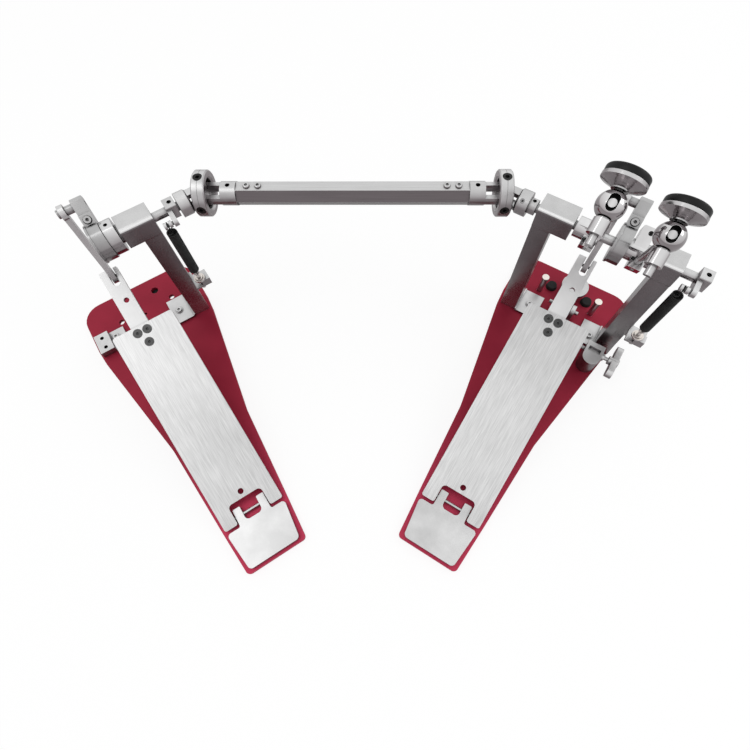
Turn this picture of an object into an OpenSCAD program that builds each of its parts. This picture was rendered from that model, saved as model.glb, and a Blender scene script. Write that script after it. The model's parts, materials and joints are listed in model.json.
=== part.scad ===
// Double bass drum pedal: a main pedal with two beaters and a second pedal that
// drives the left beater through a telescopic shaft with two universal joints.
// Origin: floor level under the heel edge of the main footboard.
// +Y runs along the main footboard to the drum, +X to the right, +Z up.

/* [Base plates] */
// Thickness of the steel base plates
base_t = 6; // [4:0.5:8]
// Thickness of the rubber grip pads under the base plates
grip_t = 1.5; // [1:0.25:3]
// Distance from the footboard heel edge back to the rear edge
base_back = 64; // [62:1:80]
// Distance from the footboard heel edge to the front edge
base_front = 444; // [440:1:460]
// Half width at the rear edge
base_rear_hw = 44; // [40:1:48]
// Half width half way along the footboard
base_mid_hw = 55; // [53:1:60]
// Half width at the towers
base_tower_hw = 94.5; // [94:0.5:100]
// Radius of the front corners
base_corner_r = 30; // [5:1:34]

/* [Heel plates and hinges] */
// Thickness of the heel plates
heel_t = 7.9; // [7.5:0.1:10]
// Length of a heel plate behind the footboard
heel_l = 55.5; // [45:0.5:57]
// Width of a heel plate at its rear edge
heel_rear_w = 74.6; // [60:0.2:80]
// Width of a heel plate at its front edge
heel_front_w = 88; // [80:0.5:90]
// Gap between a heel plate and the footboard
heel_gap = 4.7; // [3:0.1:7]
// Width of each hinge tab
tab_w = 11; // [8:0.5:12]
// Distance that a hinge tab reaches in front of the footboard heel edge
tab_reach = 21; // [18:0.5:22]
// Width between the two hinge tabs
tab_gap = 25; // [20:0.5:26]
// Distance of the hinge pin in front of the footboard heel edge
hinge_y = 10; // [9:0.5:12]
// Height of the hinge pin above the base plate
hinge_h = 5.1; // [5:0.05:5.3]
// Diameter of the hinge pins
hinge_pin_d = 4; // [3:0.1:4.2]

/* [Footboards] */
// Length of the footboards
board_l = 305; // [290:1:310]
// Width of the footboards
board_w = 88; // [80:1:92]
// Thickness of the footboards
board_t = 6; // [5:0.5:7]
// Slope of the footboards at rest, degrees
board_tilt = 18.8; // [17:0.1:20]
// Width of the heel notch
notch_w = 50; // [49.5:0.5:56]
// Depth of the heel notch
notch_l = 28; // [27:0.5:34]
// Width of the tongue that carries the link
tongue_w = 26; // [24:0.5:28]
// Thickness of the tongue
tongue_t = 6; // [5:0.5:7]
// Distance of the tongue tip from the footboard heel edge, along the board
tongue_end = 397; // [395:0.5:399]
// Length of the tongue under the footboard
tongue_lap = 48; // [44:1:60]
// Width of the fork slot in the tongue
slot_w = 10; // [9:0.2:11]
// Distance of the link screw from the footboard heel edge, along the board
link_s = 386; // [385:0.5:388]
// Diameter of the link screw
link_pin_d = 4; // [3:0.1:4.2]
// Diameter of the lightening holes in board and tongue
hole_d = 8; // [5:0.5:10]

/* [Towers and axles] */
// Distance of the axle in front of the footboard heel edge
axle_y = 353; // [351:0.5:355]
// Height of the axle above the floor
axle_z = 209.5; // [205:0.5:215]
// Diameter of the axles
axle_d = 12; // [11.5:0.1:12.5]
// Front to back depth of a tower
tower_d = 25; // [22:0.5:28]
// Thickness of a tower, side to side
tower_w = 24.5; // [22:0.5:26]
// Front to back depth of a bearing housing
house_d = 30; // [28:0.5:32]
// Height of a bearing housing
house_h = 33; // [31:0.5:36]
// Outer diameter of the ball bearings
bearing_od = 24; // [22:0.5:25]
// Width of the ball bearings
bearing_w = 6; // [5:0.5:7]
// Running clearance on the radius of a turning fit
fit = 0.05; // [0.02:0.01:0.1]

/* [Levers, links and beaters] */
// Radius from the axle to the link pin of a lever
lever_r = 49.7; // [48:0.1:51]
// Slope of a lever above the horizontal at rest, degrees
lever_a = 32.3; // [31:0.1:33]
// Radius of the drum at the root of a lever
drum_r = 24; // [20:0.5:25]
// Thickness of a link
link_t = 7; // [6:0.5:8]
// Width of a link
link_w = 13; // [12.5:0.1:14]
// Backward lean of the beaters at rest, degrees
beater_lean = 29.5; // [28:0.5:31]
// Diameter of the beater shafts
shaft_d = 8; // [7:0.5:8.5]
// Distance of a beater shaft behind its axle
shaft_offset = 12; // [11.5:0.5:13]
// Height of the right beater ball above its axle, along the shaft
main_ball_l = 144; // [120:1:160]
// Height of the left beater ball above its axle, along the shaft
slave_ball_l = 161; // [130:1:170]
// Radius of the polished balls
ball_r = 14.5; // [13:0.5:17]
// Diameter of the beater heads
head_d = 44.5; // [42:0.5:56]

/* [Springs] */
// Outer diameter of the springs
spring_od = 14; // [13:0.5:15]
// Wire diameter of the springs
wire_d = 1.8; // [1.6:0.1:1.9]
// Number of curls of each spring
curls = 36; // [28:1:38]
// Height of the lowest curl above the floor
spring_z0 = 115; // [111:1:118]
// Height of the highest curl above the floor
spring_z1 = 200; // [196:1:201]

/* [Drive shaft] */
// Position of the second pedal's heel edge, to the right
slave_x = -224.8; // [-250:0.2:-200]
// Position of the second pedal's heel edge, to the drum
slave_y = -143.1; // [-160:0.2:-120]
// Turn of the second pedal, degrees
slave_turn = 64.41; // [60:0.1:68]
// Distance of the left universal joint from the middle of the second pedal
left_joint_x = 161; // [160:0.2:164]
// Distance of the right universal joint from the middle of the main pedal
right_joint_x = -139.5; // [-142:0.2:-139]
// Width of the hexagonal tube across its flats
hex_af = 26; // [20:0.5:28]
// Width of the telescopic rod across its flats
rod_af = 15; // [12:0.5:16]
// Outer radius of a joint ring
ring_r = 29; // [28:0.5:32]
// Inner radius of a joint ring
ring_bore_r = 19; // [18.5:0.5:20]
// Width of a joint ring
ring_w = 17; // [15:0.5:18]
// Radius of the outside of the yoke and fork prongs
prong_r = 15; // [14:0.5:15.5]
// Thickness of the yoke and fork prongs
prong_t = 5.5; // [5:0.5:6]
// Width of the yoke and fork prongs
prong_w = 11; // [10:0.5:11.5]
// Diameter of the pivot pins at the ring screws
pivot_d = 5; // [4:0.1:5.2]
// Extra radius of the yoke holes, the opened pivots of each joint
pivot_play = 0.7; // [0.6:0.05:1]

/* [Hoop clamp and spurs] */
// Distance of the clamp's cross pin in front of the main axle
jaw_pin_front = 19; // [17:0.5:21]
// Height of the clamp's cross pin above the floor
jaw_pin_z = 20; // [18:0.5:21]
// Diameter of the round jaw
jaw_d = 42; // [36:1:44]
// Distance of the wing screw behind the main axle
wing_back = 38; // [36:0.5:40]
// Height of the wing screw above the floor
wing_z = 30; // [29:0.5:31]
// Length of the wing across its tips
wing_l = 54; // [44:1:56]
// Distance of each spur from the middle of the main pedal
spur_x = 44; // [42:0.5:50]
// Diameter of the spurs
spur_d = 9; // [7:0.5:10]

/* [Hidden] */
$fn = 48;
rest = 0.3;
base_top = grip_t + base_t;
heel_top = base_top + heel_t;
hinge_z = base_top + hinge_h;
boss_r = hinge_pin_d / 2 + 2.4;
tab_out = tab_gap / 2 + tab_w;
board_under = board_t + tongue_t;
link_d = board_t + tongue_t / 2;
tongue_x = -4;
link_x = -5;
lever_x = 12.3;
lever_w = 15;
collar_w = 14;
hub_start = lever_x + lever_w + 0.5;
axle_fit = axle_d / 2 + fit;
tower_y = axle_y - 13;
house_y = axle_y - 15;
house_z = axle_z - 16.5;
tongue_slot = tongue_end - 21.4;
link_y = link_s * cos(board_tilt) + link_d * sin(board_tilt);
link_z = heel_top + link_s * sin(board_tilt) - link_d * cos(board_tilt);
lever_y = axle_y + lever_r * cos(lever_a);
lever_z = axle_z + lever_r * sin(lever_a);
link_l = norm([lever_y - link_y, lever_z - link_z]);
link_lean = atan2(lever_y - link_y, lever_z - link_z);
link_play = 2.75;
link_rise = 0.85;
wing_y = axle_y - wing_back;
jaw_pin_y = axle_y + jaw_pin_front;
pin_room = link_pin_d / 2 + fit;
link_eye_r = 9;
link_foot = 9.5;
lever_pin_d = 6;
rocker_r = 24;
hook_y = axle_y - rocker_r;
hook_z = axle_z + 2;
hook_x = 11;
rocker_gap = 19;
rocker_w = 14;
main_beater_x = 45;
slave_beater_x = -16;
spur_y = 392;
main_tower_x = 69;
slave_tower_x = 63.5;
left_tower_x = -88;
main_house_x = 63;
slave_house_x = 44.5;
left_house_w = 47;
wing_x = 104;
block_x = 58;
block_w = 26;
jaw_x = 2.5;
wedge_rise = 0.5;
slave_pos = [slave_x, slave_y, 0];
left_joint = [slave_x + left_joint_x * cos(slave_turn) - axle_y * sin(slave_turn),
              slave_y + left_joint_x * sin(slave_turn) + axle_y * cos(slave_turn)];
right_joint = [right_joint_x, axle_y];
span = norm(right_joint - left_joint);
shaft_a = atan2(right_joint.y - left_joint.y, right_joint.x - left_joint.x);
fork_l = 24;
collar_l = 20;
yoke_l = 21.3;

// Points and rounded outlines

function unit(v) = v / norm(v);

// Arc of radius r that rounds corner b between a and c
function corner(a, b, c, r, n = 7) =
  let(u = unit(a - b), v = unit(c - b))
  let(h = acos(u * v) / 2, m = b + unit(u + v) * r / sin(h))
  let(p = b + u * r / tan(h) - m, q = b + v * r / tan(h) - m)
  let(a0 = atan2(p.y, p.x), d = atan2(q.y, q.x) - a0)
  let(s = d > 180 ? d - 360 : d < -180 ? d + 360 : d)
  [for (k = [0:n]) m + r * [cos(a0 + s * k / n), sin(a0 + s * k / n)]];

// Outline from [x, y, corner radius] triples
function rounded(pts) =
  let(n = len(pts), xy = [for (p = pts) [p.x, p.y]])
  [for (i = [0:n - 1])
    each pts[i].z > 0 ? corner(xy[(i + n - 1) % n], xy[i], xy[(i + 1) % n], pts[i].z) : [xy[i]]];

// Right half outline and its mirror image, joined
function both(pts) = concat(pts, [for (i = [len(pts) - 1:-1:0]) [-pts[i].x, pts[i].y, pts[i].z]]);

// Extrudes a side profile, drawn as [y, z], along +X from x
module side(x, w) {
  translate([x, 0, 0])
    rotate([90, 0, 90])
      linear_extrude(w) children();
}

// Extrudes an outline, drawn as [x, z], along -Y from y
module side_y(y, w) {
  translate([0, y, 0])
    rotate([90, 0, 0])
      linear_extrude(w) children();
}

// Round bar along +X
module bar(x, y, z, d, l) {
  translate([x, y, z])
    rotate([0, 90, 0])
      cylinder(d = d, h = l);
}

// Plate with straight tangent sides between two round ends
module strap(p, q, rp, rq) {
  d = q - p;
  l = norm(d);
  t = unit(d);
  s = [-t.y, t.x];
  e = (rp - rq) / l;
  c = sqrt(1 - e * e);
  translate(p) circle(rp);
  translate(q) circle(rq);
  polygon([p + rp * (e * t + c * s), q + rq * (e * t + c * s),
           q + rq * (e * t - c * s), p + rp * (e * t - c * s)]);
}

// Places of the moving frames

module on_slave() {
  translate(slave_pos)
    rotate([0, 0, slave_turn]) children();
}

// Footboard frame: Y along the board from its heel edge, Z = 0 on its top face
module on_board() {
  translate([0, 0, heel_top])
    rotate([board_tilt, 0, 0]) children();
}

// Beater frame: Z along the shaft from the axle, Y to the drum
module on_beater(x) {
  translate([x, axle_y, axle_z])
    rotate([beater_lean, 0, 0]) children();
}

// Universal joint frame: X along the shaft
module on_left_joint() {
  translate([left_joint.x, left_joint.y, axle_z])
    rotate([0, 0, shaft_a]) children();
}

module on_right_joint() {
  translate([right_joint.x, right_joint.y, axle_z])
    rotate([0, 0, shaft_a + 180]) children();
}

// Base plates

// Right half of the outline as [x, y, corner radius]
base_outline = [
  [base_rear_hw, -base_back, 6],
  [base_mid_hw - 5.5, 5, 60],
  [base_mid_hw + 4.5, 146, 60],
  [base_tower_hw - 2.5, 333, 20],
  [base_tower_hw, 361, 20],
  [base_tower_hw, base_front, base_corner_r]
];
base_screw_d = 5;
// Spare holes of the second base plate as [x, y, diameter]
spare_holes = [[25, 419, 12], [-5, 385, 5]];
// Rubber strips across the underside as [start, length]
grip_rows = [[-base_back + 6, 76], [base_front / 2 - 72, 80], [base_front - 70, 55]];
grip_inset = 8;

main_screws = [[left_tower_x + 42, axle_y + 2], [main_tower_x - 12, axle_y - 2]];
slave_screws = [[slave_tower_x - 18.7, axle_y + 4.5], [-60, axle_y + 15]];

module base_plate(main) {
  translate([0, 0, grip_t])
    linear_extrude(base_t)
      difference() {
        polygon(rounded(both(base_outline)));
        for (s = [-1, 1])
          translate([s * spur_x, spur_y]) circle(d = spur_d + 2 * fit);
        for (p = main ? main_screws : slave_screws)
          translate(p) circle(d = base_screw_d + 2 * fit);
        if (!main)
          for (h = spare_holes)
            translate([h.x, h.y]) circle(d = h.z);
      }
}

module grip_pads() {
  for (row = grip_rows)
    translate([grip_inset - base_rear_hw, row[0], 0])
      cube([2 * (base_rear_hw - grip_inset), row[1], grip_t]);
}

module heel_plate() {
  b = -heel_gap;
  translate([0, 0, base_top])
    difference() {
      linear_extrude(heel_t)
        polygon(rounded([
          [heel_rear_w / 2, b - heel_l, 6],
          [heel_front_w / 2, b, 5],
          [tab_out, b, 3],
          [tab_out, tab_reach, 1.5],
          [tab_gap / 2, tab_reach, 1.5],
          [tab_gap / 2, -1, 6],
          [-tab_gap / 2, -1, 6],
          [-tab_gap / 2, tab_reach, 1.5],
          [-tab_out, tab_reach, 1.5],
          [-tab_out, b, 3],
          [-heel_front_w / 2, b, 5],
          [-heel_rear_w / 2, b - heel_l, 6]
        ]));
      bar(-tab_out - 1, hinge_y, hinge_h, hinge_pin_d + 2 * fit, 2 * tab_out + 2);
    }
}

// Footboards

board_screw_d = 6;
sink_d = 13;
sink_h = 3.2;
board_socket_d = 4.6;
boss_inset = 0.5;
arm_w = (board_w - notch_w) / 2;
hinge_drop = hinge_z - heel_top;
screw_places = [[tongue_x - 7, board_l - 9.3], [tongue_x + 7, board_l - 9.3],
                [tongue_x + 1, board_l - 26.5]];

module footboard() {
  on_board()
    difference() {
      union() {
        translate([0, 0, -board_t])
          linear_extrude(board_t)
            difference() {
              polygon(rounded([
                [board_w / 2, 0, 3], [board_w / 2, board_l, 4],
                [-board_w / 2, board_l, 4], [-board_w / 2, 0, 3],
                [-notch_w / 2, 0, 3], [-notch_w / 2, notch_l, 6],
                [notch_w / 2, notch_l, 6], [notch_w / 2, 0, 3]
              ]));
              translate([0, notch_l + 9]) circle(d = hole_d);
              for (p = screw_places) translate(p) circle(d = board_screw_d + 2 * fit);
            }
        // Hinge bosses under the two arms beside the notch
        for (s = [-1, 1])
          translate([s * (notch_w + board_w) / 4, 0, 0])
            rotate([-board_tilt, 0, 0])
              bar(boss_inset - arm_w / 2, hinge_y, hinge_drop, 2 * boss_r, arm_w - 2 * boss_inset);
      }
      rotate([-board_tilt, 0, 0])
        bar(-board_w / 2 - 1, hinge_y, hinge_drop, hinge_pin_d + 2 * fit, board_w + 2);
      for (p = screw_places)
        translate([p.x, p.y, -sink_h])
          cylinder(d1 = board_screw_d + 2 * fit, d2 = sink_d + 2 * fit + 0.25, h = sink_h + 0.1);
    }
}

module tongue() {
  w = tongue_w / 2;
  on_board()
    difference() {
      translate([0, 0, -board_under])
        linear_extrude(tongue_t)
          difference() {
            translate([tongue_x, 0])
              polygon(rounded([
                [w, board_l - tongue_lap, 3], [w, tongue_end, 1],
                [-w, tongue_end, 1], [-w, board_l - tongue_lap, 3]
              ]));
            translate([link_x + link_t / 2, tongue_slot]) circle(d = slot_w);
            translate([link_x + link_t / 2 - slot_w / 2, tongue_slot])
              square([slot_w, tongue_end]);
            translate([tongue_x + 2, tongue_slot - 28.6]) circle(d = hole_d - 0.4);
            for (p = screw_places) translate(p) circle(d = board_screw_d + 2 * fit);
          }
      bar(tongue_x - w - 1, link_s, -link_d, link_pin_d + 2 * fit, tongue_w + 2);
    }
}

// Three countersunk board screws and the link screw, flush with the tongue's sides
module board_screws() {
  on_board() {
    for (p = screw_places)
      translate([p.x, p.y, 0])
        difference() {
          union() {
            translate([0, 0, -sink_h]) cylinder(d1 = board_screw_d, d2 = sink_d, h = sink_h);
            translate([0, 0, -board_under]) cylinder(d = board_screw_d, h = board_under - 1);
          }
          translate([0, 0, -sink_h / 2]) cylinder(d = board_socket_d, h = sink_h, $fn = 6);
        }
    bar(tongue_x - tongue_w / 2, link_s, -link_d, link_pin_d, tongue_w);
  }
}

// Link bar: drawn along +Y from its lower eye to its upper eye
module link() {
  translate([0, link_y, link_z])
    rotate([90 - link_lean, 0, 0])
      difference() {
        side(link_x, link_t)
          difference() {
            polygon(rounded([
              [-link_foot, -link_w / 2, 6.2], [link_l - 6, -link_w / 2, 3],
              [link_l - 5, -link_eye_r, 3], [link_l + link_eye_r, -link_eye_r, 8.5],
              [link_l + link_eye_r, link_eye_r, 8.5], [link_l - 5, link_eye_r, 3],
              [link_l - 6, link_w / 2, 3], [-link_foot, link_w / 2, 6.2]
            ]));
            // The lower pivot is opened: its slot lets the screw slide
            rotate(link_lean - 90)
              polygon(rounded([
                [pin_room + link_play, -pin_room - link_rise, pin_room],
                [pin_room + link_play, pin_room + link_rise, pin_room],
                [-pin_room - link_play, pin_room + link_rise, pin_room],
                [-pin_room - link_play, -pin_room - link_rise, pin_room]
              ]));
          }
        bar(link_x - 1, link_l, 0, lever_pin_d + 2 * fit, link_t + 2);
      }
}

// Towers with their bearing housings, each milled from one block

module tower(x, hx, hw) {
  difference() {
    union() {
      side(x, tower_w)
        polygon(rounded([
          [tower_y - 3, base_top, 0], [tower_y + tower_d + 3, base_top, 0],
          [tower_y + tower_d, base_top + 30, 60], [tower_y + tower_d, house_z + 5, 0],
          [tower_y, house_z + 5, 0], [tower_y, base_top + 30, 60]
        ]));
      side(hx, hw)
        polygon(rounded([
          [house_y, house_z, 3], [house_y + house_d, house_z, 3],
          [house_y + house_d, house_z + house_h, 3], [house_y, house_z + house_h, 6]
        ]));
    }
    bar(hx - 1, axle_y, axle_z, axle_d + 4, hw + 2);
    for (b = [hx - 1, hx + hw - bearing_w])
      bar(b, axle_y, axle_z, bearing_od + 0.02, bearing_w + 1);
  }
}

module ring_bearing(x, w, ri, ro) {
  translate([x, axle_y, axle_z])
    rotate([0, 90, 0])
      difference() {
        cylinder(r = ro, h = w);
        translate([0, 0, -1]) cylinder(r = ri, h = w + 2);
        // Shallow groove between the two races, on both faces
        for (z = [-1, w - 0.6])
          translate([0, 0, z])
            difference() {
              cylinder(r = ro - 2, h = 1.6);
              translate([0, 0, -1]) cylinder(r = ri + 2, h = 4);
            }
      }
}

module bearing_pair(hx, hw) {
  for (b = [hx, hx + hw - bearing_w])
    ring_bearing(b, bearing_w, axle_fit, bearing_od / 2);
}

module hinge_pin() {
  bar(-board_w / 2, hinge_y, hinge_z, hinge_pin_d, board_w);
}

// Round head screw with a hexagon socket, standing on a face at z
module cap_screw(p, z) {
  d = 9;
  h = 3;
  deep = 8;
  translate([p.x, p.y, z])
    difference() {
      union() {
        cylinder(d = d, h = h);
        translate([0, 0, -deep]) cylinder(d = base_screw_d, h = deep);
      }
      translate([0, 0, h / 2]) cylinder(d = base_screw_d, h = h, $fn = 6);
    }
}

// Foot of a tower: a flat leaf of width w on the base and a low lip at the tower side
bracket_t = 4;
lip_w = 2;
lip_h = 6.5;
main_leaf = 29;
slave_leaf = 31.5;
module tower_foot(x, w, front, lip_x, screw) {
  y0 = tower_y - 5;
  l = axle_y + front - y0;
  difference() {
    union() {
      translate([x, y0, base_top]) cube([w, l, bracket_t]);
      translate([lip_x, y0, base_top]) cube([lip_w, l, lip_h]);
    }
    translate([screw.x, screw.y, base_top - 1])
      cylinder(d = base_screw_d + 2 * fit, h = bracket_t + 2);
  }
}

// Lug on the outer side of a tower that carries the spring's lower screw
lug_z = 80;
lug_t = 4;
lug_w = 24;
boss_w = 13;
boss_h = 13;
tie_d = 4;
module spring_lug(x) {
  difference() {
    union() {
      translate([x, hook_y - 6, lug_z]) cube([lug_w, 26, lug_t]);
      translate([x, tower_y + 1, lug_z - 14]) cube([lug_t, 18, 14.5]);
      translate([x + hook_x, hook_y - 6, lug_z]) cube([boss_w, 12, boss_h]);
    }
    translate([x + hook_x, hook_y, lug_z - 1]) cylinder(d = tie_d + 2 * fit, h = boss_h + 4);
  }
}

nut_z = lug_z + boss_h + 0.2;
nut_h = 2.6;
nut_d = 16;
eye_z = 108;
eye_d = 8;
eye_t = 2.4;
eye_bore = 4.6;
module tensioner(x) {
  translate([x + hook_x, hook_y, 0]) {
    translate([0, 0, lug_z - 8]) cylinder(d = tie_d, h = eye_z - lug_z + 5);
    // Round nut with its narrower shoulder
    difference() {
      union() {
        translate([0, 0, nut_z]) cylinder(d = nut_d, h = nut_h);
        translate([0, 0, nut_z + nut_h]) cylinder(d = nut_d - 5, h = nut_h);
      }
      translate([0, 0, nut_z - 1]) cylinder(d = tie_d + 0.1, h = 3 * nut_h);
    }
    translate([0, eye_t / 2, eye_z])
      rotate([90, 0, 0])
        difference() {
          cylinder(d = eye_d, h = eye_t);
          translate([0, 0, -1]) cylinder(d = eye_bore, h = eye_t + 2);
        }
    // Lock nut under the lug
    translate([0, 0, lug_z - 5]) cylinder(d = 8, h = 4.6, $fn = 6);
  }
}

// Springs: one tube along a helix with a hook at each end

hook_pin_d = 5;
spring_mid_r = (spring_od - wire_d) / 2;
top_hook_r = hook_pin_d / 2 + wire_d / 2 + rest;
eye_hook_r = 2.5;
eye_hook_z = eye_z + 3.15;
// Points along the wire: the lower hook, the curls, the upper hook
wire_path = concat(
  [for (a = [30:-30:-240]) [0, eye_hook_r * cos(a), eye_hook_z + eye_hook_r * sin(a)]],
  [[0, 0, spring_z0 - 1]],
  [for (k = [1:8 * curls - 1])
    let(r = spring_mid_r * min(1, k / 4, (8 * curls - k) / 4))
    [r * cos(45 * k), r * sin(45 * k), spring_z0 + (spring_z1 - spring_z0) * k / (8 * curls)]],
  [[0, 0, spring_z1 + 1]],
  [for (a = [180:-30:-30]) [0, top_hook_r * cos(a), hook_z + top_hook_r * sin(a)]]
);

function tangent(p, i) = unit(p[min(i + 1, len(p) - 1)] - p[max(i - 1, 0)]);

// Directions square to the path, carried along it without twist
function normals(p) =
  [for (i = 0, u = unit(cross([1, 0, 0], tangent(p, 0))); i < len(p);
        u = let(t = tangent(p, min(i + 1, len(p) - 1))) unit(u - t * (u * t)), i = i + 1) u];

module tube(p, d, sides = 6) {
  u = normals(p);
  n = len(p);
  points = [for (i = [0:n - 1])
    let(t = tangent(p, i), v = cross(t, u[i]))
    for (k = [0:sides - 1]) p[i] + d / 2 * (cos(360 * k / sides) * u[i] + sin(360 * k / sides) * v)];
  walls = [for (i = [0:n - 2], k = [0:sides - 1])
    let(a = i * sides + k, b = i * sides + (k + 1) % sides)
    each [[a, a + sides, b], [b, a + sides, b + sides]]];
  lids = [for (k = [1:sides - 2]) each [[0, k, k + 1],
    [(n - 1) * sides, (n - 1) * sides + k + 1, (n - 1) * sides + k]]];
  polyhedron(points, concat(walls, lids));
}

// Least free distance between neighbouring curls, measured on the points
curl_gap = min([for (k = [12:8 * curls - 20])
  norm(wire_path[k + 8] - wire_path[k]) - wire_d]);
echo(curl_gap = curl_gap);

module spring(x) {
  translate([x + hook_x, hook_y, 0]) tube(wire_path, wire_d);
}

// Lever: a flanged drum on the axle, a raised block with the clamp screw, and an arm
// with a chamfered end that holds the link screw

arm_hw = 8.5;
arm_end = 9;
arm_chamfer = 5;
flange_w = 2;
flange_r = drum_r + 1;
clamp_y = 27;
clamp_z = 8;
clamp_top = 12;
clamp_screw_d = 9;
clamp_screw_h = 6;
lever_head_d = 11;
lever_head_h = 3;
module on_lever() {
  translate([lever_x + lever_w / 2, axle_y, axle_z])
    rotate([lever_a, 0, 0])
      translate([0, clamp_y, clamp_z]) children();
}

module lever() {
  spacer_x = link_x + link_t + rest;
  difference() {
    union() {
      side(lever_x, lever_w)
        translate([axle_y, axle_z]) {
          circle(r = drum_r);
          rotate(lever_a)
            polygon(rounded([
              [0, -arm_hw, 0], [lever_r + arm_end, -arm_hw, 2.5],
              [lever_r + arm_end, arm_hw - arm_chamfer, 1], [lever_r + arm_end - arm_chamfer, arm_hw, 1],
              [clamp_y + 9, arm_hw, 0.5], [clamp_y + 8, clamp_top, 1], [0, clamp_top, 0]
            ]));
        }
      bar(lever_x - flange_w, axle_y, axle_z, 2 * flange_r, flange_w + 0.5);
    }
    bar(lever_x - flange_w - 1, axle_y, axle_z, axle_d + 0.02, lever_w + flange_w + 2);
    bar(lever_x - 1, lever_y, lever_z, lever_pin_d + 0.02, lever_w + 2);
    // Seat of the clamp screw in the block
    on_lever() cylinder(d = clamp_screw_d + 1.6, h = 20);
  }
  on_lever()
    translate([0, 0, 0.02])
      difference() {
        cylinder(d = clamp_screw_d, h = clamp_screw_h);
        translate([0, 0, clamp_screw_h / 2]) cylinder(d = clamp_screw_d / 2, h = clamp_screw_h, $fn = 6);
      }
  // Link screw with its head, and the spacer between lever and link
  bar(link_x - rest, lever_y, lever_z, lever_pin_d, lever_x + lever_w - 5 - link_x);
  difference() {
    bar(link_x - rest - lever_head_h, lever_y, lever_z, lever_head_d, lever_head_h);
    translate([link_x - rest - lever_head_h - 1, lever_y, lever_z])
      rotate([0, 90, 0]) cylinder(d = 4, h = 2.6, $fn = 6);
  }
  difference() {
    bar(spacer_x, lever_y, lever_z, lever_head_d, lever_x - spacer_x);
    bar(spacer_x - 1, lever_y, lever_z, lever_pin_d + 0.02, lever_x - spacer_x + 2);
  }
}

// Turned collar on an axle with a radial screw hole on top
neck_hole_d = 5;
module collar(x, w, r, hole = neck_hole_d) {
  difference() {
    bar(x, axle_y, axle_z, 2 * r, w);
    bar(x - 1, axle_y, axle_z, axle_d + 0.02, w + 2);
    translate([x + w / 2, axle_y, axle_z]) cylinder(d = hole, h = r + 1);
  }
}

module axle(x0, x1) {
  bar(x0, axle_y, axle_z, axle_d, x1 - x0);
}

// Rocker at the axle end: its arm reaches back over the spring
rocker_arm_w = 6;
roller_d = 9;
// Rollers beside the spring hook as [start, width]
rollers = [[6.2, 3.2], [13, 4]];
module rocker(x) {
  pin_x = x - rocker_gap;
  difference() {
    union() {
      side(x, rocker_w)
        polygon(rounded([
          [axle_y - 9, axle_z - 9.5, 2], [axle_y + 9, axle_z - 9.5, 2],
          [axle_y + 9, axle_z + 12.5, 2], [axle_y - 9, axle_z + 12.5, 2]
        ]));
      side(x, rocker_arm_w) strap([axle_y, axle_z], [hook_y, hook_z], 9, 5.5);
    }
    bar(x - 1, axle_y, axle_z, axle_d + 0.02, rocker_w + 2);
    bar(x - 1, hook_y, hook_z, hook_pin_d + 0.02, rocker_arm_w + 2);
    translate([x + rocker_w / 2 + 1, axle_y, axle_z]) cylinder(d = 6, h = 14);
  }
  bar(pin_x + rollers[0][0] - 0.2, hook_y, hook_z, hook_pin_d, rocker_gap);
  for (w = rollers)
    difference() {
      bar(pin_x + w[0], hook_y, hook_z, roller_d, w[1]);
      bar(pin_x + w[0] - 1, hook_y, hook_z, hook_pin_d + 0.02, w[1] + 2);
    }
}

// Beater hub: a barrel on the axle with a block that clamps the beater shaft behind it
// and a block with the stroke screw in front of it
hub_d = 26;
hub_block = [17, shaft_offset + 16, 20];
hub_front = [16, 29, 12.5];
hub_front_low = 9;
set_hole_d = 6;
module beater_hub(x, x0, x1, front_x) {
  difference() {
    union() {
      bar(x0, axle_y, axle_z, hub_d, x1 - x0);
      on_beater(x)
        translate([-hub_block.x / 2, -shaft_offset - shaft_d / 2 - 5, -hub_block.z / 2])
          cube(hub_block);
      // Stroke block on the drum side
      on_beater(front_x)
        translate([0, 0, -hub_front_low])
          linear_extrude(hub_front_low + hub_front.z)
            polygon(rounded([
              [0, 0, 0], [hub_front.x, 0, 0], [hub_front.x, hub_front.y, 2], [0, hub_front.y, 2]
            ]));
    }
    bar(x0 - 1, axle_y, axle_z, axle_d + 0.02, x1 - x0 + 2);
    on_beater(x) {
      translate([0, -shaft_offset, -hub_block.z]) cylinder(d = shaft_d + 2 * fit, h = 2 * hub_block.z);
      translate([0, -shaft_offset - 3, 0])
        rotate([90, 0, 0]) cylinder(d = set_hole_d, h = 12);
    }
    on_beater(front_x)
      translate([hub_front.x * 0.7, hub_front.y - 7, hub_front.z - 6]) cylinder(d = set_hole_d, h = 12);
  }
}

// Length of a beater shaft below its axle, and how deep it enters the ball
shaft_tail = 34;
shaft_top = -5;
module beater_shaft(x, l) {
  on_beater(x)
    translate([0, -shaft_offset, -shaft_tail]) cylinder(d = shaft_d, h = l + shaft_tail + shaft_top);
}

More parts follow.
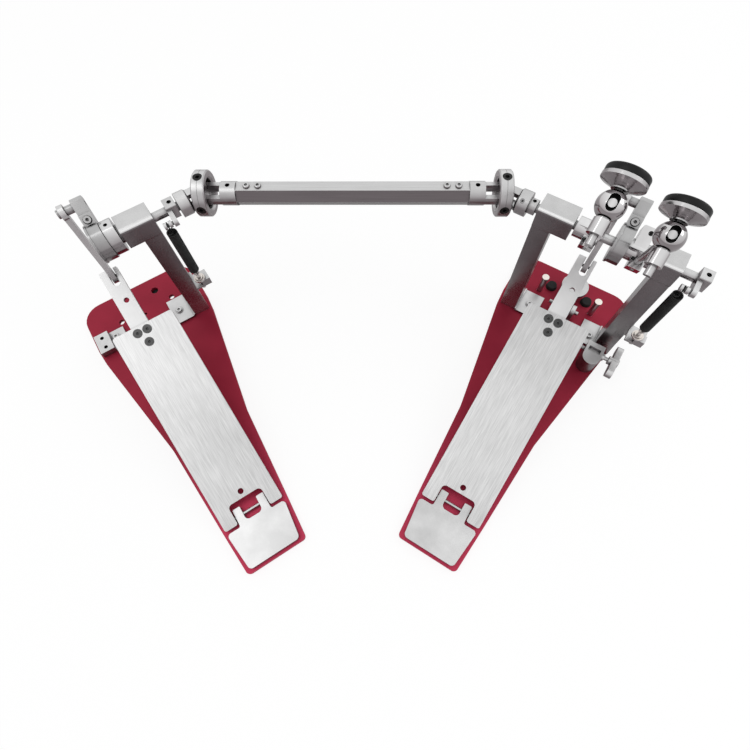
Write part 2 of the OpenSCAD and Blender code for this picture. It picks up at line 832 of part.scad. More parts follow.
// Polished ball with a tail collar, bored for the shaft and the head rod. A slot in its
// top shows the end of the clamp screw.
ball_slot = [10, 17];
ball_screw_d = 8.4;
ball_screw_h = 4.5;
tail_d = 17;
tail_l = 15;
module beater_ball(x, l) {
  on_beater(x)
    translate([0, -shaft_offset, l]) {
      difference() {
        union() {
          sphere(r = ball_r, $fn = 64);
          rotate([90, 0, 0]) {
            cylinder(d = 13, h = ball_r + 2.5);
            translate([0, 0, ball_r]) cylinder(d = tail_d, h = tail_l);
          }
        }
        translate([0, 0, shaft_top - tail_l]) cylinder(d = shaft_d + 0.02, h = tail_l + 0.02);
        translate([0, 40, 0]) rotate([90, 0, 0]) cylinder(d = shaft_d + 0.02, h = 80);
        translate([0, 0, -shaft_top])
          linear_extrude(ball_r)
            polygon(rounded([
              [ball_slot.x / 2, ball_slot.y / 2, 4.9], [-ball_slot.x / 2, ball_slot.y / 2, 4.9],
              [-ball_slot.x / 2, -ball_slot.y / 2, 4.9], [ball_slot.x / 2, -ball_slot.y / 2, 4.9]
            ]));
      }
      translate([0, 0, 0.02 - shaft_top]) cylinder(d = ball_screw_d, h = ball_screw_h);
    }
}

// Distance from the ball's middle to the dished back of a head
head_gap = ball_r + 6;
rod_back = 40;
rim_t = 3.5;
pad_t = 8;
neck_r = 8.5;
dish_front = head_gap + 1 + rim_t;
// Head: a rod, a dished back and a bright rim, turned in one piece
module beater_head(x, l) {
  on_beater(x)
    translate([0, -shaft_offset, l])
      rotate([-90, 0, 0])
        rotate_extrude($fn = 72)
          polygon([[0, -rod_back], [shaft_d / 2, -rod_back], [shaft_d / 2, ball_r + rest],
                   [neck_r, ball_r + rest], [neck_r, head_gap - 4.5], [12.5, head_gap - 2.6],
                   [head_d / 2 - 3, head_gap], [head_d / 2, head_gap + 1],
                   [head_d / 2, dish_front], [0, dish_front]]);
}

module beater_pad(x, l) {
  r = head_d / 2 - 0.5;
  on_beater(x)
    translate([0, -shaft_offset, l])
      rotate([-90, 0, 0])
        rotate_extrude($fn = 72)
          translate([0, dish_front])
            polygon(rounded([[0, 0, 0], [r, 0, 0], [r, pad_t - 1, 3], [0, pad_t, 0]]));
}

// Universal joints, drawn in a joint frame with X along the shaft or axle

// Two prongs above and below that reach back to x = l, with their pivot holes
module prongs(l, hole) {
  difference() {
    intersection() {
      difference() {
        bar(-prong_w, 0, 0, 2 * prong_r, prong_w + l);
        bar(-prong_w - 1, 0, 0, 2 * (prong_r - prong_t), prong_w + l + 2);
      }
      translate([0, 0, -prong_r]) {
        cylinder(d = prong_w, h = 2 * prong_r);
        translate([0, -prong_w / 2, 0]) cube([l, prong_w, 2 * prong_r]);
      }
    }
    translate([0, 0, -prong_r - 1]) cylinder(d = hole, h = 2 * prong_r + 2);
  }
}

// Yoke clamped on an axle end, with a neck of the given length
yoke_body_l = 16.2;
yoke_body_r = prong_r + 1;
yoke_neck_r = 10;
yoke_cone_l = 2.5;
module yoke(neck) {
  difference() {
    union() {
      prongs(yoke_l + 1, pivot_d + 2 * pivot_play);
      translate([yoke_l, 0, 0])
        rotate([0, 90, 0]) {
          cylinder(r1 = prong_r - 1.5, r2 = yoke_body_r, h = yoke_cone_l);
          translate([0, 0, yoke_cone_l]) cylinder(r = yoke_body_r, h = yoke_body_l - yoke_cone_l);
          if (neck > 0) translate([0, 0, yoke_body_l]) cylinder(r = yoke_neck_r, h = neck);
        }
    }
    bar(yoke_l + 5, 0, 0, axle_d + 0.02, 60);
    translate([yoke_l + yoke_body_l / 2, 0, 0])
      rotate([40, 0, 0]) cylinder(d = set_hole_d, h = 30);
    if (neck > 0)
      translate([yoke_l + yoke_body_l + neck / 2, 0, 0]) cylinder(d = neck_hole_d, h = 30);
  }
}

// Fork on the shaft: prongs left and right, a round collar and a hexagonal stem
module fork(stem) {
  difference() {
    union() {
      rotate([90, 0, 0]) prongs(fork_l + 1, pivot_d + 2 * fit);
      bar(fork_l, 0, 0, 2 * prong_r, collar_l);
      translate([fork_l + collar_l, 0, 0])
        rotate([0, 90, 0]) rotate([0, 0, 30])
          cylinder(d = rod_af / cos(30), h = stem, $fn = 6);
    }
    translate([fork_l + collar_l / 2, 0, 0]) cylinder(d = set_hole_d, h = 30);
  }
}

// Ring of two halves, with four radial screw seats
ring_edge = 1.5;
ring_bore_edge = 2.5;
seat_d = 12.2;
seat_h = 4.5;
ring_screw_d = 6;
module ring() {
  difference() {
    for (m = [0, 1])
      mirror([m, 0, 0])
        rotate([0, 90, 0])
          rotate_extrude($fn = 96)
            polygon([[ring_bore_r, 0.05], [ring_r, 0.05], [ring_r, ring_w / 2 - ring_edge],
                     [ring_r - ring_edge, ring_w / 2], [ring_bore_r + ring_bore_edge, ring_w / 2],
                     [ring_bore_r, ring_w / 2 - ring_bore_edge]]);
    for (a = [0:90:270])
      rotate([a, 0, 0]) {
        cylinder(d = ring_screw_d + 0.1, h = ring_r + 1);
        translate([0, 0, ring_r - seat_h]) cylinder(d = seat_d, h = 10);
      }
  }
}

// Pivot screws: a socket head in the ring, a shank and a pin into the prong
module ring_screws() {
  for (a = [0:90:270])
    rotate([a, 0, 0])
      difference() {
        union() {
          translate([0, 0, prong_r - prong_t]) cylinder(d = pivot_d, h = 12);
          translate([0, 0, prong_r + rest])
            cylinder(d = ring_screw_d, h = ring_r - seat_h - prong_r - rest + 1);
          translate([0, 0, ring_r - seat_h + 0.05]) cylinder(d = seat_d - 0.2, h = seat_h - 0.5);
        }
        translate([0, 0, ring_r - 3]) cylinder(d = ring_screw_d, h = 10, $fn = 6);
      }
}

clamp_hole_d = 6;
clamp_hole_at = [14, 29];
module hex_tube() {
  l = span - 2 * (fork_l + collar_l) - 2 * fit;
  translate([fork_l + collar_l + fit, 0, 0])
    rotate([0, 90, 0]) rotate([0, 0, 30])
      difference() {
        cylinder(d = hex_af / cos(30), h = l, $fn = 6);
        translate([0, 0, -1]) cylinder(d = (rod_af + 2 * fit) / cos(30), h = l + 2, $fn = 6);
        // Threaded holes of two clamp screws at each end, through one flat
        for (at = clamp_hole_at, z = [at, l - at])
          translate([0, 0, z])
            rotate([0, 0, -30]) rotate([0, -90, 0]) cylinder(d = clamp_hole_d, h = hex_af);
      }
}

// Hoop clamp

wing_screw_d = 6;
block_d = 24;
block_h = 8;
oil_slot = [18, 8, 6];
cheek_w = 6;
cheek_gap = 24;
cross_pin_d = 6;
module clamp_mount_form() {
  cheek_x = jaw_x - cheek_gap / 2 - cheek_w;
  // Block on the base that carries the wing screw
  difference() {
    translate([0, 0, base_top])
      linear_extrude(wing_z + block_h - base_top) {
        translate([block_x, wing_y - block_d / 2]) square([block_w, block_d]);
        translate([block_x + block_w / 2, wing_y - block_d / 2]) circle(d = block_w);
      }
    bar(block_x - 1, wing_y, wing_z, wing_screw_d + 2 * fit, block_w + 2);
    translate([
      block_x + (block_w - oil_slot.x) / 2, wing_y - oil_slot.y / 2, wing_z + block_h - oil_slot.z + 1
    ])
      cube(oil_slot);
  }
  // Two cheeks with the cross pin of the jaw
  difference() {
    for (x = [cheek_x, cheek_x + cheek_gap + cheek_w])
      side(x, cheek_w)
        polygon(rounded([
          [jaw_pin_y - 12, base_top, 0], [jaw_pin_y + 16, base_top, 0],
          [jaw_pin_y + 8, jaw_pin_z + 8, 7], [jaw_pin_y - 8, jaw_pin_z + 8, 7]
        ]));
    bar(cheek_x - 1, jaw_pin_y, jaw_pin_z, cross_pin_d + 0.02, cheek_gap + 2 * cheek_w + 2);
  }
  bar(cheek_x - 6, jaw_pin_y, jaw_pin_z, cross_pin_d, cheek_gap + 2 * cheek_w + 12);
}

jaw_l = 42;
jaw_t = 5;
jaw_w = 22;
jaw_barrel_d = 14;
jaw_pad_t = 2;
tail_w = 8;
foot_w = 8;
foot_z = wing_z + 13;
foot_r = 5;
module hoop_jaw_form() {
  difference() {
    union() {
      translate([jaw_x, jaw_pin_y + jaw_l, jaw_pin_z + jaw_pad_t]) cylinder(d = jaw_d, h = jaw_t);
      translate([jaw_x - jaw_w / 2, jaw_pin_y, jaw_pin_z + jaw_pad_t]) cube([jaw_w, jaw_l, jaw_t]);
      bar(jaw_x - jaw_w / 2, jaw_pin_y, jaw_pin_z, jaw_barrel_d, jaw_w);
      side(jaw_x - tail_w / 2, tail_w) {
        strap([jaw_pin_y, jaw_pin_z], [wing_y + 6, foot_z + 12], 7, 4);
        translate([wing_y - 5, foot_z]) square([12, 14]);
      }
      // Foot that rides on the wedge
      translate([jaw_x, wing_y - foot_w / 2, foot_z]) rotate([-90, 0, 0]) cylinder(r = foot_r, h = foot_w);
    }
    bar(jaw_x - jaw_w, jaw_pin_y, jaw_pin_z, cross_pin_d + 2 * fit, 2 * jaw_w);
  }
}

module hoop_jaw_pad_form() {
  translate([jaw_x, jaw_pin_y + jaw_l, jaw_pin_z]) cylinder(d = jaw_d - 2, h = jaw_pad_t);
}

// Wedge on the wing screw: its top slopes so that it lifts the foot as it moves to +X
wedge_top = foot_z - foot_r * sqrt(1 + wedge_rise * wedge_rise) - 2 * rest;
wedge_back = 22;
wedge_front = 12;
wedge_w = 20;
wedge_drop = 9;
module clamp_wedge_form() {
  difference() {
    side_y(wing_y + wedge_w / 2, wedge_w)
      polygon([[jaw_x - wedge_back, wing_z - wedge_drop], [jaw_x + wedge_front, wing_z - wedge_drop],
               [jaw_x + wedge_front, wedge_top - wedge_front * wedge_rise],
               [jaw_x - wedge_back, wedge_top + wedge_back * wedge_rise]]);
    bar(jaw_x - wedge_back - 1, wing_y, wing_z, wing_screw_d + 2 * fit, wedge_back + wedge_front + 2);
  }
}

wing_t = 9;
wing_root_r = 6;
wing_tip_r = 8;
wing_hub_d = 13;
wing_hub_l = 15;
stop_d = 11;
stop_w = 4;
module wing_screw_form() {
  start = jaw_x - wedge_back - 2;
  bar(start, wing_y, wing_z, wing_screw_d, wing_x - start);
  bar(block_x + block_w + rest, wing_y, wing_z, stop_d, stop_w);
  bar(wing_x - wing_hub_l + 6, wing_y, wing_z, wing_hub_d, wing_hub_l);
  // Wing: two tapering blades with round tips
  side(wing_x - wing_t / 2, wing_t)
    for (s = [-1, 1])
      strap([wing_y, wing_z], [wing_y + s * (wing_l / 2 - wing_tip_r), wing_z], wing_root_r, wing_tip_r);
}

spur_tip_l = 7;
spur_l = 31;
spur_head_h = 5;
module spur(s) {
  translate([s * spur_x, spur_y, 0.5]) {
    cylinder(d1 = 2, d2 = spur_d, h = spur_tip_l);
    translate([0, 0, spur_tip_l]) cylinder(d = spur_d, h = spur_l);
    translate([0, 0, spur_tip_l + spur_l]) cylinder(d = spur_d + 2, h = spur_head_h);
  }
}

buffer_x = 30;
buffer_front = 15;
buffer_d = 18;
buffer_h = 6;
module buffers() {
  for (s = [-1, 1])
    translate([s * buffer_x, spur_y + buffer_front, base_top])
      cylinder(d1 = buffer_d, d2 = buffer_d - 3, h = buffer_h);
}

// Colours of the finishes
red = "#96283c";
alloy = "#c3c4c8";
satin = "#a9a9ad";
bright = "#dcdde0";
black = "#1c1c1e";
rubber = "#26262a";
nickel = "#b8b2a6";

// Main pedal

module main_base_plate() { color(red) base_plate(true); }
module main_grip_pads() { color(rubber) grip_pads(); }
module main_heel_plate() { color(alloy) heel_plate(); }
module main_left_tower() { color(satin) tower(left_tower_x, left_tower_x, left_house_w); }
module main_right_tower() {
  color(satin) tower(main_tower_x, main_house_x, main_tower_x + tower_w - main_house_x);
}
module main_bearings_pins() {
  color(nickel) {
    bearing_pair(left_tower_x, left_house_w);
    bearing_pair(main_house_x, main_tower_x + tower_w - main_house_x);
    hinge_pin();
    for (p = main_screws) cap_screw(p, base_top + bracket_t);
  }
}
module main_brackets() {
  color(alloy) {
    tower_foot(left_tower_x + tower_w, 33.5, 25, left_tower_x + tower_w, main_screws[0]);
    tower_foot(main_tower_x - main_leaf, main_leaf, 23, main_tower_x - lip_w, main_screws[1]);
    spring_lug(main_tower_x + tower_w);
  }
}
module main_spring_tensioner() { color(nickel) tensioner(main_tower_x + tower_w); }
module main_spring() { color(black) spring(main_tower_x + tower_w); }
module rubber_buffers() { color(rubber) buffers(); }

module main_footboard() { color(alloy) footboard(); }
module main_tongue() { color(alloy) tongue(); }
module main_board_screws() { color(black) board_screws(); }
module main_link() { color(satin) link(); }
module main_axle() { color(bright) axle(-19, main_tower_x + tower_w + rocker_gap + rocker_w); }
module main_lever() { color(bright) lever(); }
module main_rocker() { color(alloy) rocker(main_tower_x + tower_w + rocker_gap); }
module main_beater_hub() { color(bright) beater_hub(main_beater_x, hub_start, 62, 31); }
module main_beater_shaft() { color(bright) beater_shaft(main_beater_x, main_ball_l); }
module main_beater_ball() { color(bright) beater_ball(main_beater_x, main_ball_l); }
module main_beater_head() { color(bright) beater_head(main_beater_x, main_ball_l); }
module main_beater_pad() { color(black) beater_pad(main_beater_x, main_ball_l); }

// Sleeve in the left beater's hub, which runs on the end of the main axle
pilot_x = -20;
pilot_w = 14;
pilot_d = 15.4;

module slave_beater_axle() { color(bright) axle(right_joint_x + yoke_l + 6, -20.5); }
module slave_beater_hub() {
  color(bright) {
    difference() {
      beater_hub(slave_beater_x, -38, -5.5, -22.5);
      bar(pilot_x, axle_y, axle_z, pilot_d + 0.02, pilot_w + 6);
    }
    difference() {
      bar(pilot_x, axle_y, axle_z, pilot_d, pilot_w);
      bar(pilot_x - 1, axle_y, axle_z, 2 * axle_fit, pilot_w + 2);
    }
  }
}
module right_yoke() {
  color(alloy) translate([right_joint_x, axle_y, axle_z]) yoke(10);
}
module slave_beater_shaft() { color(bright) beater_shaft(slave_beater_x, slave_ball_l); }
module slave_beater_ball() { color(bright) beater_ball(slave_beater_x, slave_ball_l); }
module slave_beater_head() { color(bright) beater_head(slave_beater_x, slave_ball_l); }
module slave_beater_pad() { color(black) beater_pad(slave_beater_x, slave_ball_l); }

module right_ring() { color(alloy) on_right_joint() ring(); }
module right_ring_screws() { color(black) on_right_joint() ring_screws(); }
module left_ring() { color(alloy) on_left_joint() ring(); }
module left_ring_screws() { color(black) on_left_joint() ring_screws(); }
module drive_tube() { color(satin) on_left_joint() hex_tube(); }
right_stem_l = 40;
left_stem_l = 150;
module right_fork() { color(alloy) on_right_joint() fork(right_stem_l); }
module left_fork() { color(alloy) on_left_joint() fork(left_stem_l); }

// Second pedal

module slave_axle() {
  color(bright) on_slave() axle(lever_x - 1, left_joint_x - yoke_l - 6);
}
module slave_lever() { color(bright) on_slave() lever(); }
module slave_hub_collar() {
  // The disc ends short of the bearing, which stays in the tower
  disc_x = hub_start + collar_w + 0.1;
  color(bright) on_slave() {
    collar(hub_start, collar_w, 22);
    collar(disc_x, slave_house_x - 0.4 - disc_x, 12, 0.5);
  }
}
module slave_rocker() { color(alloy) on_slave() rocker(slave_tower_x + tower_w + rocker_gap); }
module left_yoke() {
  color(alloy) on_slave() translate([left_joint_x, axle_y, axle_z]) rotate([0, 0, 180]) yoke(0);
}
module slave_link() { color(satin) on_slave() link(); }
module slave_footboard() { color(alloy) on_slave() footboard(); }
module slave_tongue() { color(alloy) on_slave() tongue(); }
module slave_board_screws() { color(black) on_slave() board_screws(); }
module slave_base_plate() { color(red) on_slave() base_plate(false); }
module slave_grip_pads() { color(rubber) on_slave() grip_pads(); }
module slave_heel_plate() { color(alloy) on_slave() heel_plate(); }
module slave_tower() {
  color(satin) on_slave()
    tower(slave_tower_x, slave_house_x, slave_tower_x + tower_w - slave_house_x);
}
module slave_bearings_pins() {
  color(nickel) on_slave() {
    bearing_pair(slave_house_x, slave_tower_x + tower_w - slave_house_x);
    hinge_pin();
    for (p = slave_screws) cap_screw(p, base_top + bracket_t);
  }
}
foot_pad_x = -90;
foot_pad_y = axle_y - 7;
foot_pad = [22, 35, 12];
foot_hole_y = [foot_pad_y + 8, foot_pad_y + 26];
module slave_brackets() {
  color(alloy) on_slave() {
    tower_foot(slave_tower_x - slave_leaf, slave_leaf, 30, slave_tower_x - lip_w, slave_screws[0]);
    // Spare foot for a left tower: a bracket leaf and a raised pad with two threaded holes
    difference() {
      union() {
        translate([foot_pad_x, foot_pad_y, base_top]) cube([foot_pad.x + 23, foot_pad.y, bracket_t]);
        translate([foot_pad_x, foot_pad_y, base_top]) cube(foot_pad);
      }
      translate([slave_screws[1].x, slave_screws[1].y, base_top - 1])
        cylinder(d = base_screw_d + 2 * fit, h = 20);
      for (y = foot_hole_y)
        translate([foot_pad_x + foot_pad.x / 2, y, base_top + 2]) cylinder(d = 6, h = 20);
    }
    spring_lug(slave_tower_x + tower_w);
  }
}
module slave_spring_tensioner() { color(nickel) on_slave() tensioner(slave_tower_x + tower_w); }
module slave_spring() { color(black) on_slave() spring(slave_tower_x + tower_w); }

// Clamp and spurs

module clamp_mount() { color(alloy) clamp_mount_form(); }
module hoop_jaw() { color(alloy) hoop_jaw_form(); }
module hoop_jaw_pad() { color(rubber) hoop_jaw_pad_form(); }
module clamp_wedge() { color(satin) clamp_wedge_form(); }
module wing_screw() { color(alloy) wing_screw_form(); }
module left_spur() { color(nickel) spur(-1); }
module right_spur() { color(nickel) spur(1); }

main_base_plate();
main_grip_pads();
main_heel_plate();
main_left_tower();
main_right_tower();
main_bearings_pins();
main_brackets();
main_spring_tensioner();
main_spring();
rubber_buffers();
clamp_mount();
hoop_jaw();
hoop_jaw_pad();
clamp_wedge();
wing_screw();
left_spur();
right_spur();
main_footboard();
main_tongue();
main_board_screws();
main_link();
main_axle();
main_lever();
main_rocker();
main_beater_hub();
main_beater_shaft();
main_beater_ball();
main_beater_head();
main_beater_pad();
slave_beater_axle();
slave_beater_hub();
right_yoke();
slave_beater_shaft();
slave_beater_ball();
slave_beater_head();
slave_beater_pad();
right_ring();
right_ring_screws();
left_ring();
left_ring_screws();
drive_tube();
right_fork();
left_fork();
slave_axle();
slave_lever();
slave_hub_collar();
slave_rocker();
left_yoke();
slave_link();
slave_footboard();
slave_tongue();
slave_board_screws();
slave_base_plate();
slave_grip_pads();
slave_heel_plate();
slave_tower();
slave_bearings_pins();
slave_brackets();
slave_spring_tensioner();
slave_spring();
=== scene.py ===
import bpy
import json
import math
import numpy as np
from mathutils import Matrix, Vector


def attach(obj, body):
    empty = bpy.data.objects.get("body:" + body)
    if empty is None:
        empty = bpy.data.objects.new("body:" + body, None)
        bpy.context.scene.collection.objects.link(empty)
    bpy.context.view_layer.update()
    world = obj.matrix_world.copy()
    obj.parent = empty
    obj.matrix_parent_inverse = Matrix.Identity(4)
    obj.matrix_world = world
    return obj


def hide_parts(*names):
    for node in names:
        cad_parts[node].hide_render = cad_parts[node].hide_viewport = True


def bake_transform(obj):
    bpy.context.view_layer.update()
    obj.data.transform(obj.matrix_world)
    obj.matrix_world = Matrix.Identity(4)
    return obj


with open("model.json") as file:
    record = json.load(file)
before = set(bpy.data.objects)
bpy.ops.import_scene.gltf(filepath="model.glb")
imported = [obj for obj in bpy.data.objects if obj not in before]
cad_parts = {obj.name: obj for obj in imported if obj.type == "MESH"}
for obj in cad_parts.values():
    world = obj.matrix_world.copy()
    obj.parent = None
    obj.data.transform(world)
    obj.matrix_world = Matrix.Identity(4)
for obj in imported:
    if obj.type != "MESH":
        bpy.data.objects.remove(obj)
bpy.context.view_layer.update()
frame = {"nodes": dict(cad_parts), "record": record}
print("frame loaded:", len(frame["nodes"]), "nodes")

mm = 0.001


# Places that several pieces share, in millimetres and degrees, as in the part's source

pedalSize = {
    "axleY": 353.0, "axleZ": 209.5,           # line of the axles
    "boardTilt": 18.8, "beaterLean": 29.5,    # rise of the boards, lean of the beaters
    "towerOut": 93.5, "slaveTowerOut": 88.0,  # the tower beside each spring
    "hookOut": 11.0, "hookBack": 24.0,        # springs: outside that tower, behind the axle
    "rightRing": -139.5, "leftRing": 161.0,   # middle of each joint ring along its axle
    "shaftOffset": 12.0,                      # beater shafts: behind the axle
}
beaters = {
    # place on the axle, and distance of the ball up the shaft
    "main": {"x": 45.0, "length": 144.0},
    "slave": {"x": -16.0, "length": 161.0},
}
slavePlace = (-224.8, -143.1, 0)  # heel edge of the second pedal
slaveTurn = math.radians(64.41)   # its turn on the floor
shaftTurn = math.radians(30.70)   # direction of the drive shaft
same = Matrix.Identity(4)
slaveFrame = Matrix.Translation(Vector(slavePlace)) @ Matrix.Rotation(slaveTurn, 4, "Z")


def onAxle(x):
    # spot on a pedal's axle line
    return Vector((x, pedalSize["axleY"], pedalSize["axleZ"]))


def ballFrame(beater):
    # middle of a beater's ball: second axis to the drum, third axis up along the shaft
    lean = Matrix.Rotation(math.radians(pedalSize["beaterLean"]), 4, "X")
    arm = Vector((0, -pedalSize["shaftOffset"], beater["length"]))
    return Matrix.Translation(onAxle(beater["x"])) @ lean @ Matrix.Translation(arm)


def springFrame(towerOut, pedalFrame):
    # upright line of a spring and its tensioner, from the floor
    y = pedalSize["axleY"] - pedalSize["hookBack"]
    return pedalFrame @ Matrix.Translation(Vector((towerOut + pedalSize["hookOut"], y, 0)))


rightJoint = onAxle(pedalSize["rightRing"])
leftJoint = slaveFrame @ onAxle(pedalSize["leftRing"])
shaftAlong = (rightJoint - leftJoint).normalized()
mainSpringFrame = springFrame(pedalSize["towerOut"], same)
slaveSpringFrame = springFrame(pedalSize["slaveTowerOut"], slaveFrame)


# Camera: solved from the board, heel and tower corners of the photograph

cameraSettings = {
    "place": (-23.5, -127.0, 715.2), "yaw": 34.62, "pitch": 66.91, "roll": -3.07,
    "lens": 24.0, "sensor": 36.0, "farthest": 50.0,
}


def placeCamera(s):
    # forward from yaw and downward pitch, then right and up turned by the roll
    yaw, pitch, roll = (math.radians(s[k]) for k in ("yaw", "pitch", "roll"))
    level = math.cos(pitch)
    forward = Vector((-math.sin(yaw) * level, math.cos(yaw) * level, -math.sin(pitch)))
    right = Vector((math.cos(yaw), math.sin(yaw), 0))
    up = right.cross(forward)
    rolledRight = right * math.cos(roll) + up * math.sin(roll)
    rolledUp = up * math.cos(roll) - right * math.sin(roll)
    camera = bpy.data.objects.new("camera", bpy.data.cameras.new("camera"))
    turn = Matrix((rolledRight, rolledUp, -forward)).transposed().to_4x4()
    camera.matrix_world = Matrix.Translation(Vector(s["place"]) * mm) @ turn
    camera.data.lens = s["lens"]
    camera.data.sensor_width = s["sensor"]
    camera.data.clip_end = s["farthest"]
    bpy.context.scene.collection.objects.link(camera)
    bpy.context.scene.camera = camera


placeCamera(cameraSettings)
print("camera placed")


# Shader maths: one class wraps a socket, so that masks are written as expressions

class Wire:
    def __init__(self, tree, socket):
        self.tree = tree
        self.socket = socket

    def math(self, operation, *values):
        return node(self.tree, "ShaderNodeMath", {"operation": operation}, values)

    def __add__(self, other): return self.math("ADD", self, other)
    def __radd__(self, other): return self.math("ADD", self, other)
    def __sub__(self, other): return self.math("SUBTRACT", self, other)
    def __rsub__(self, other): return self.math("SUBTRACT", other, self)
    def __mul__(self, other): return self.math("MULTIPLY", self, other)
    def __rmul__(self, other): return self.math("MULTIPLY", self, other)
    def __abs__(self): return self.math("ABSOLUTE", self)


def node(tree, kind, settings, inputs, out=0):
    # any node: settings first, then the values or links of its sockets, by place or name
    n = tree.nodes.new(kind)
    for key, value in settings.items():
        setattr(n, key, value)
    pairs = inputs.items() if isinstance(inputs, dict) else enumerate(inputs)
    for key, value in pairs:
        if isinstance(value, Wire):
            tree.links.new(value.socket, n.inputs[key])
        else:
            n.inputs[key].default_value = value
    return Wire(tree, n.outputs[out]) if len(n.outputs) else None


def newMaterial(name):
    # a material with an empty tree
    material = bpy.data.materials.new(name)
    material.use_nodes = True
    tree = material.node_tree
    tree.nodes.clear()
    return material, tree


def coordinates(tree, kind="Object"):
    # point or normal of the surface in the shared frame
    return node(tree, "ShaderNodeTexCoord", {}, {}, kind)


def objectPoint(tree, turn=0.0, scale=(1, 1, 1), tilt=0.0):
    # object coordinates turned about Z and tilted about X, then stretched
    turned = node(tree, "ShaderNodeMapping", {"vector_type": "POINT"},
                  {"Vector": coordinates(tree), "Rotation": (0, 0, -turn)})
    return node(tree, "ShaderNodeMapping", {"vector_type": "POINT"},
                {"Vector": turned, "Rotation": (-tilt, 0, 0), "Scale": scale})


def noise(tree, vector, scale, detail=3.0, roughness=0.55):
    # cloudy noise from 0 to 1, with scale as its waves in each metre
    return node(tree, "ShaderNodeTexNoise", {},
                {"Vector": vector, "Scale": scale, "Detail": detail, "Roughness": roughness})


def mixColour(tree, factor, first, second):
    # first colour where the factor is 0, second where it is 1
    return node(tree, "ShaderNodeMix", {"data_type": "RGBA"}, {0: factor, 6: first, 7: second}, 2)


def mapRange(tree, value, low, high, toLow=0.0, toHigh=1.0):
    # straight line from (low, toLow) to (high, toHigh), level beyond both
    return node(tree, "ShaderNodeMapRange", {"clamp": True}, [value, low, high, toLow, toHigh])


def vectorMaths(tree, operation, first, second):
    # a vector from SUBTRACT, a number from DOT_PRODUCT
    out = "Value" if operation == "DOT_PRODUCT" else "Vector"
    return node(tree, "ShaderNodeVectorMath", {"operation": operation}, [first, second], out)


def armFrom(tree, spot):
    # from a spot in millimetres to the shaded point, in metres
    return vectorMaths(tree, "SUBTRACT", coordinates(tree), tuple(spot * mm))


def shaded(tree, colour, share):
    # colour times a number
    return node(tree, "ShaderNodeVectorMath", {"operation": "SCALE"},
                {0: colour, "Scale": share}, "Vector")


def grey(value, warm=0.0):
    # warm adds its share to red and takes it from blue
    return (value * (1 + warm), value, value * (1 - warm), 1)


# painted reflection: the red-brown of the red plates, painted into the shade of standing metal
# faces
plumShift = (0.09, -0.08, -0.02)  # red-brown that metal shows in shade, as a change of each channel


def plum(value, tint):
    # grey shifted by the red-brown times the tint
    return (*(value * (1 + shift * tint) for shift in plumShift), 1)


# Masks that depend on the shape: rounded edges, corners for painted shade, and the way a face
# looks for painted light and shade

maskSamples = {"samples": 4}
edgeLimits = (0.999, 0.93)  # likeness of the rounded and the flat normal, from no edge to full edge
lightLimits = (0.3, 0.85)   # light that reaches a spot, from closed to open


def softEdge(tree, radius):
    # rounded normal near edges, and a mask that is 1 on them
    rounded = node(tree, "ShaderNodeBevel", maskSamples, {"Radius": radius})
    flat = node(tree, "ShaderNodeNewGeometry", {}, {}, "Normal")
    likeness = vectorMaths(tree, "DOT_PRODUCT", rounded, flat)
    return rounded, mapRange(tree, likeness, *edgeLimits)


def crevice(tree, reach, darkest):
    # painted shade: share of light that reaches narrow corners and sockets, darkest there, 1 on
    # open faces; the colour is darkened by it
    light = node(tree, "ShaderNodeAmbientOcclusion", maskSamples, {"Distance": reach}, "AO")
    return mapRange(tree, light, *lightLimits, darkest, 1)


def upward(tree, low, high):
    # 0 on faces that stand or look down, 1 on faces that look up, by the piece's own normal; it
    # sets where light and shade are painted
    normal = coordinates(tree, "Normal")
    return mapRange(tree, node(tree, "ShaderNodeSeparateXYZ", {}, [normal], "Z"), low, high)


# Common end of every finish: paler edges that are partly wear and partly a painted highlight,
# painted shade in corners, and raised grain

edgeAndCornerLooks = {
    # edge: rounding in millimetres; the share after it: how much of the paler edge tone is on it,
    # partly wear and partly a painted highlight; relief: strength of the grain; reach and darkest:
    # width of the painted shade in a corner in millimetres and the share of light in it
    "brushed": dict(edge=0.5, wearAndHighlight=0.6, relief=0.6, reach=5, darkest=0.15),
    "grain": dict(edge=0.4, wearAndHighlight=0.6, relief=0.5, reach=5, darkest=0.12),
    "red": dict(edge=0.7, wearAndHighlight=0.7, relief=0.5),
    "dark": dict(edge=0.4, wearAndHighlight=0.5, relief=0.6, reach=4, darkest=0.2),
}
# dark grey for the seam line of a ring and for the painted shade in a ball's slot
seamAndShadeGrey = grey(0.03)
usualNoise = (0.35, 0.65)  # where most values of a noise lie
richDetail = 4             # of the slow noises and the long grain


def finished(tree, wear, body, edgeTone, fine, depth, rough,
             metallic=1.0, shine=0.5, shadeOf=None):
    # body colour to a paler edge tone by the edge mask, partly wear and partly a painted highlight,
    # then painted shade in ball slots and corners, a dark seam line on the rings, grain as bump
    w = edgeAndCornerLooks[wear]
    rounded, edge = softEdge(tree, w["edge"] * mm)
    colour = mixColour(tree, edge * w["wearAndHighlight"], body, edgeTone)
    # painted shade in a ball's slot, or the dark seam line where two ring halves meet
    if shadeOf:
        colour = mixColour(tree, shadeOf(tree), colour, seamAndShadeGrey)
    # painted shade: colour darkened in narrow corners and sockets
    if "reach" in w:
        colour = shaded(tree, colour, crevice(tree, w["reach"] * mm, w["darkest"]))
    normal = node(tree, "ShaderNodeBump", {},
                  {"Height": fine, "Distance": depth, "Strength": w["relief"], "Normal": rounded})
    shader = node(tree, "ShaderNodeBsdfPrincipled", {},
                  {"Base Color": colour, "Roughness": rough, "Metallic": metallic,
                   "Specular IOR Level": shine, "Normal": normal})
    node(tree, "ShaderNodeOutputMaterial", {}, [shader])


# Bare metals

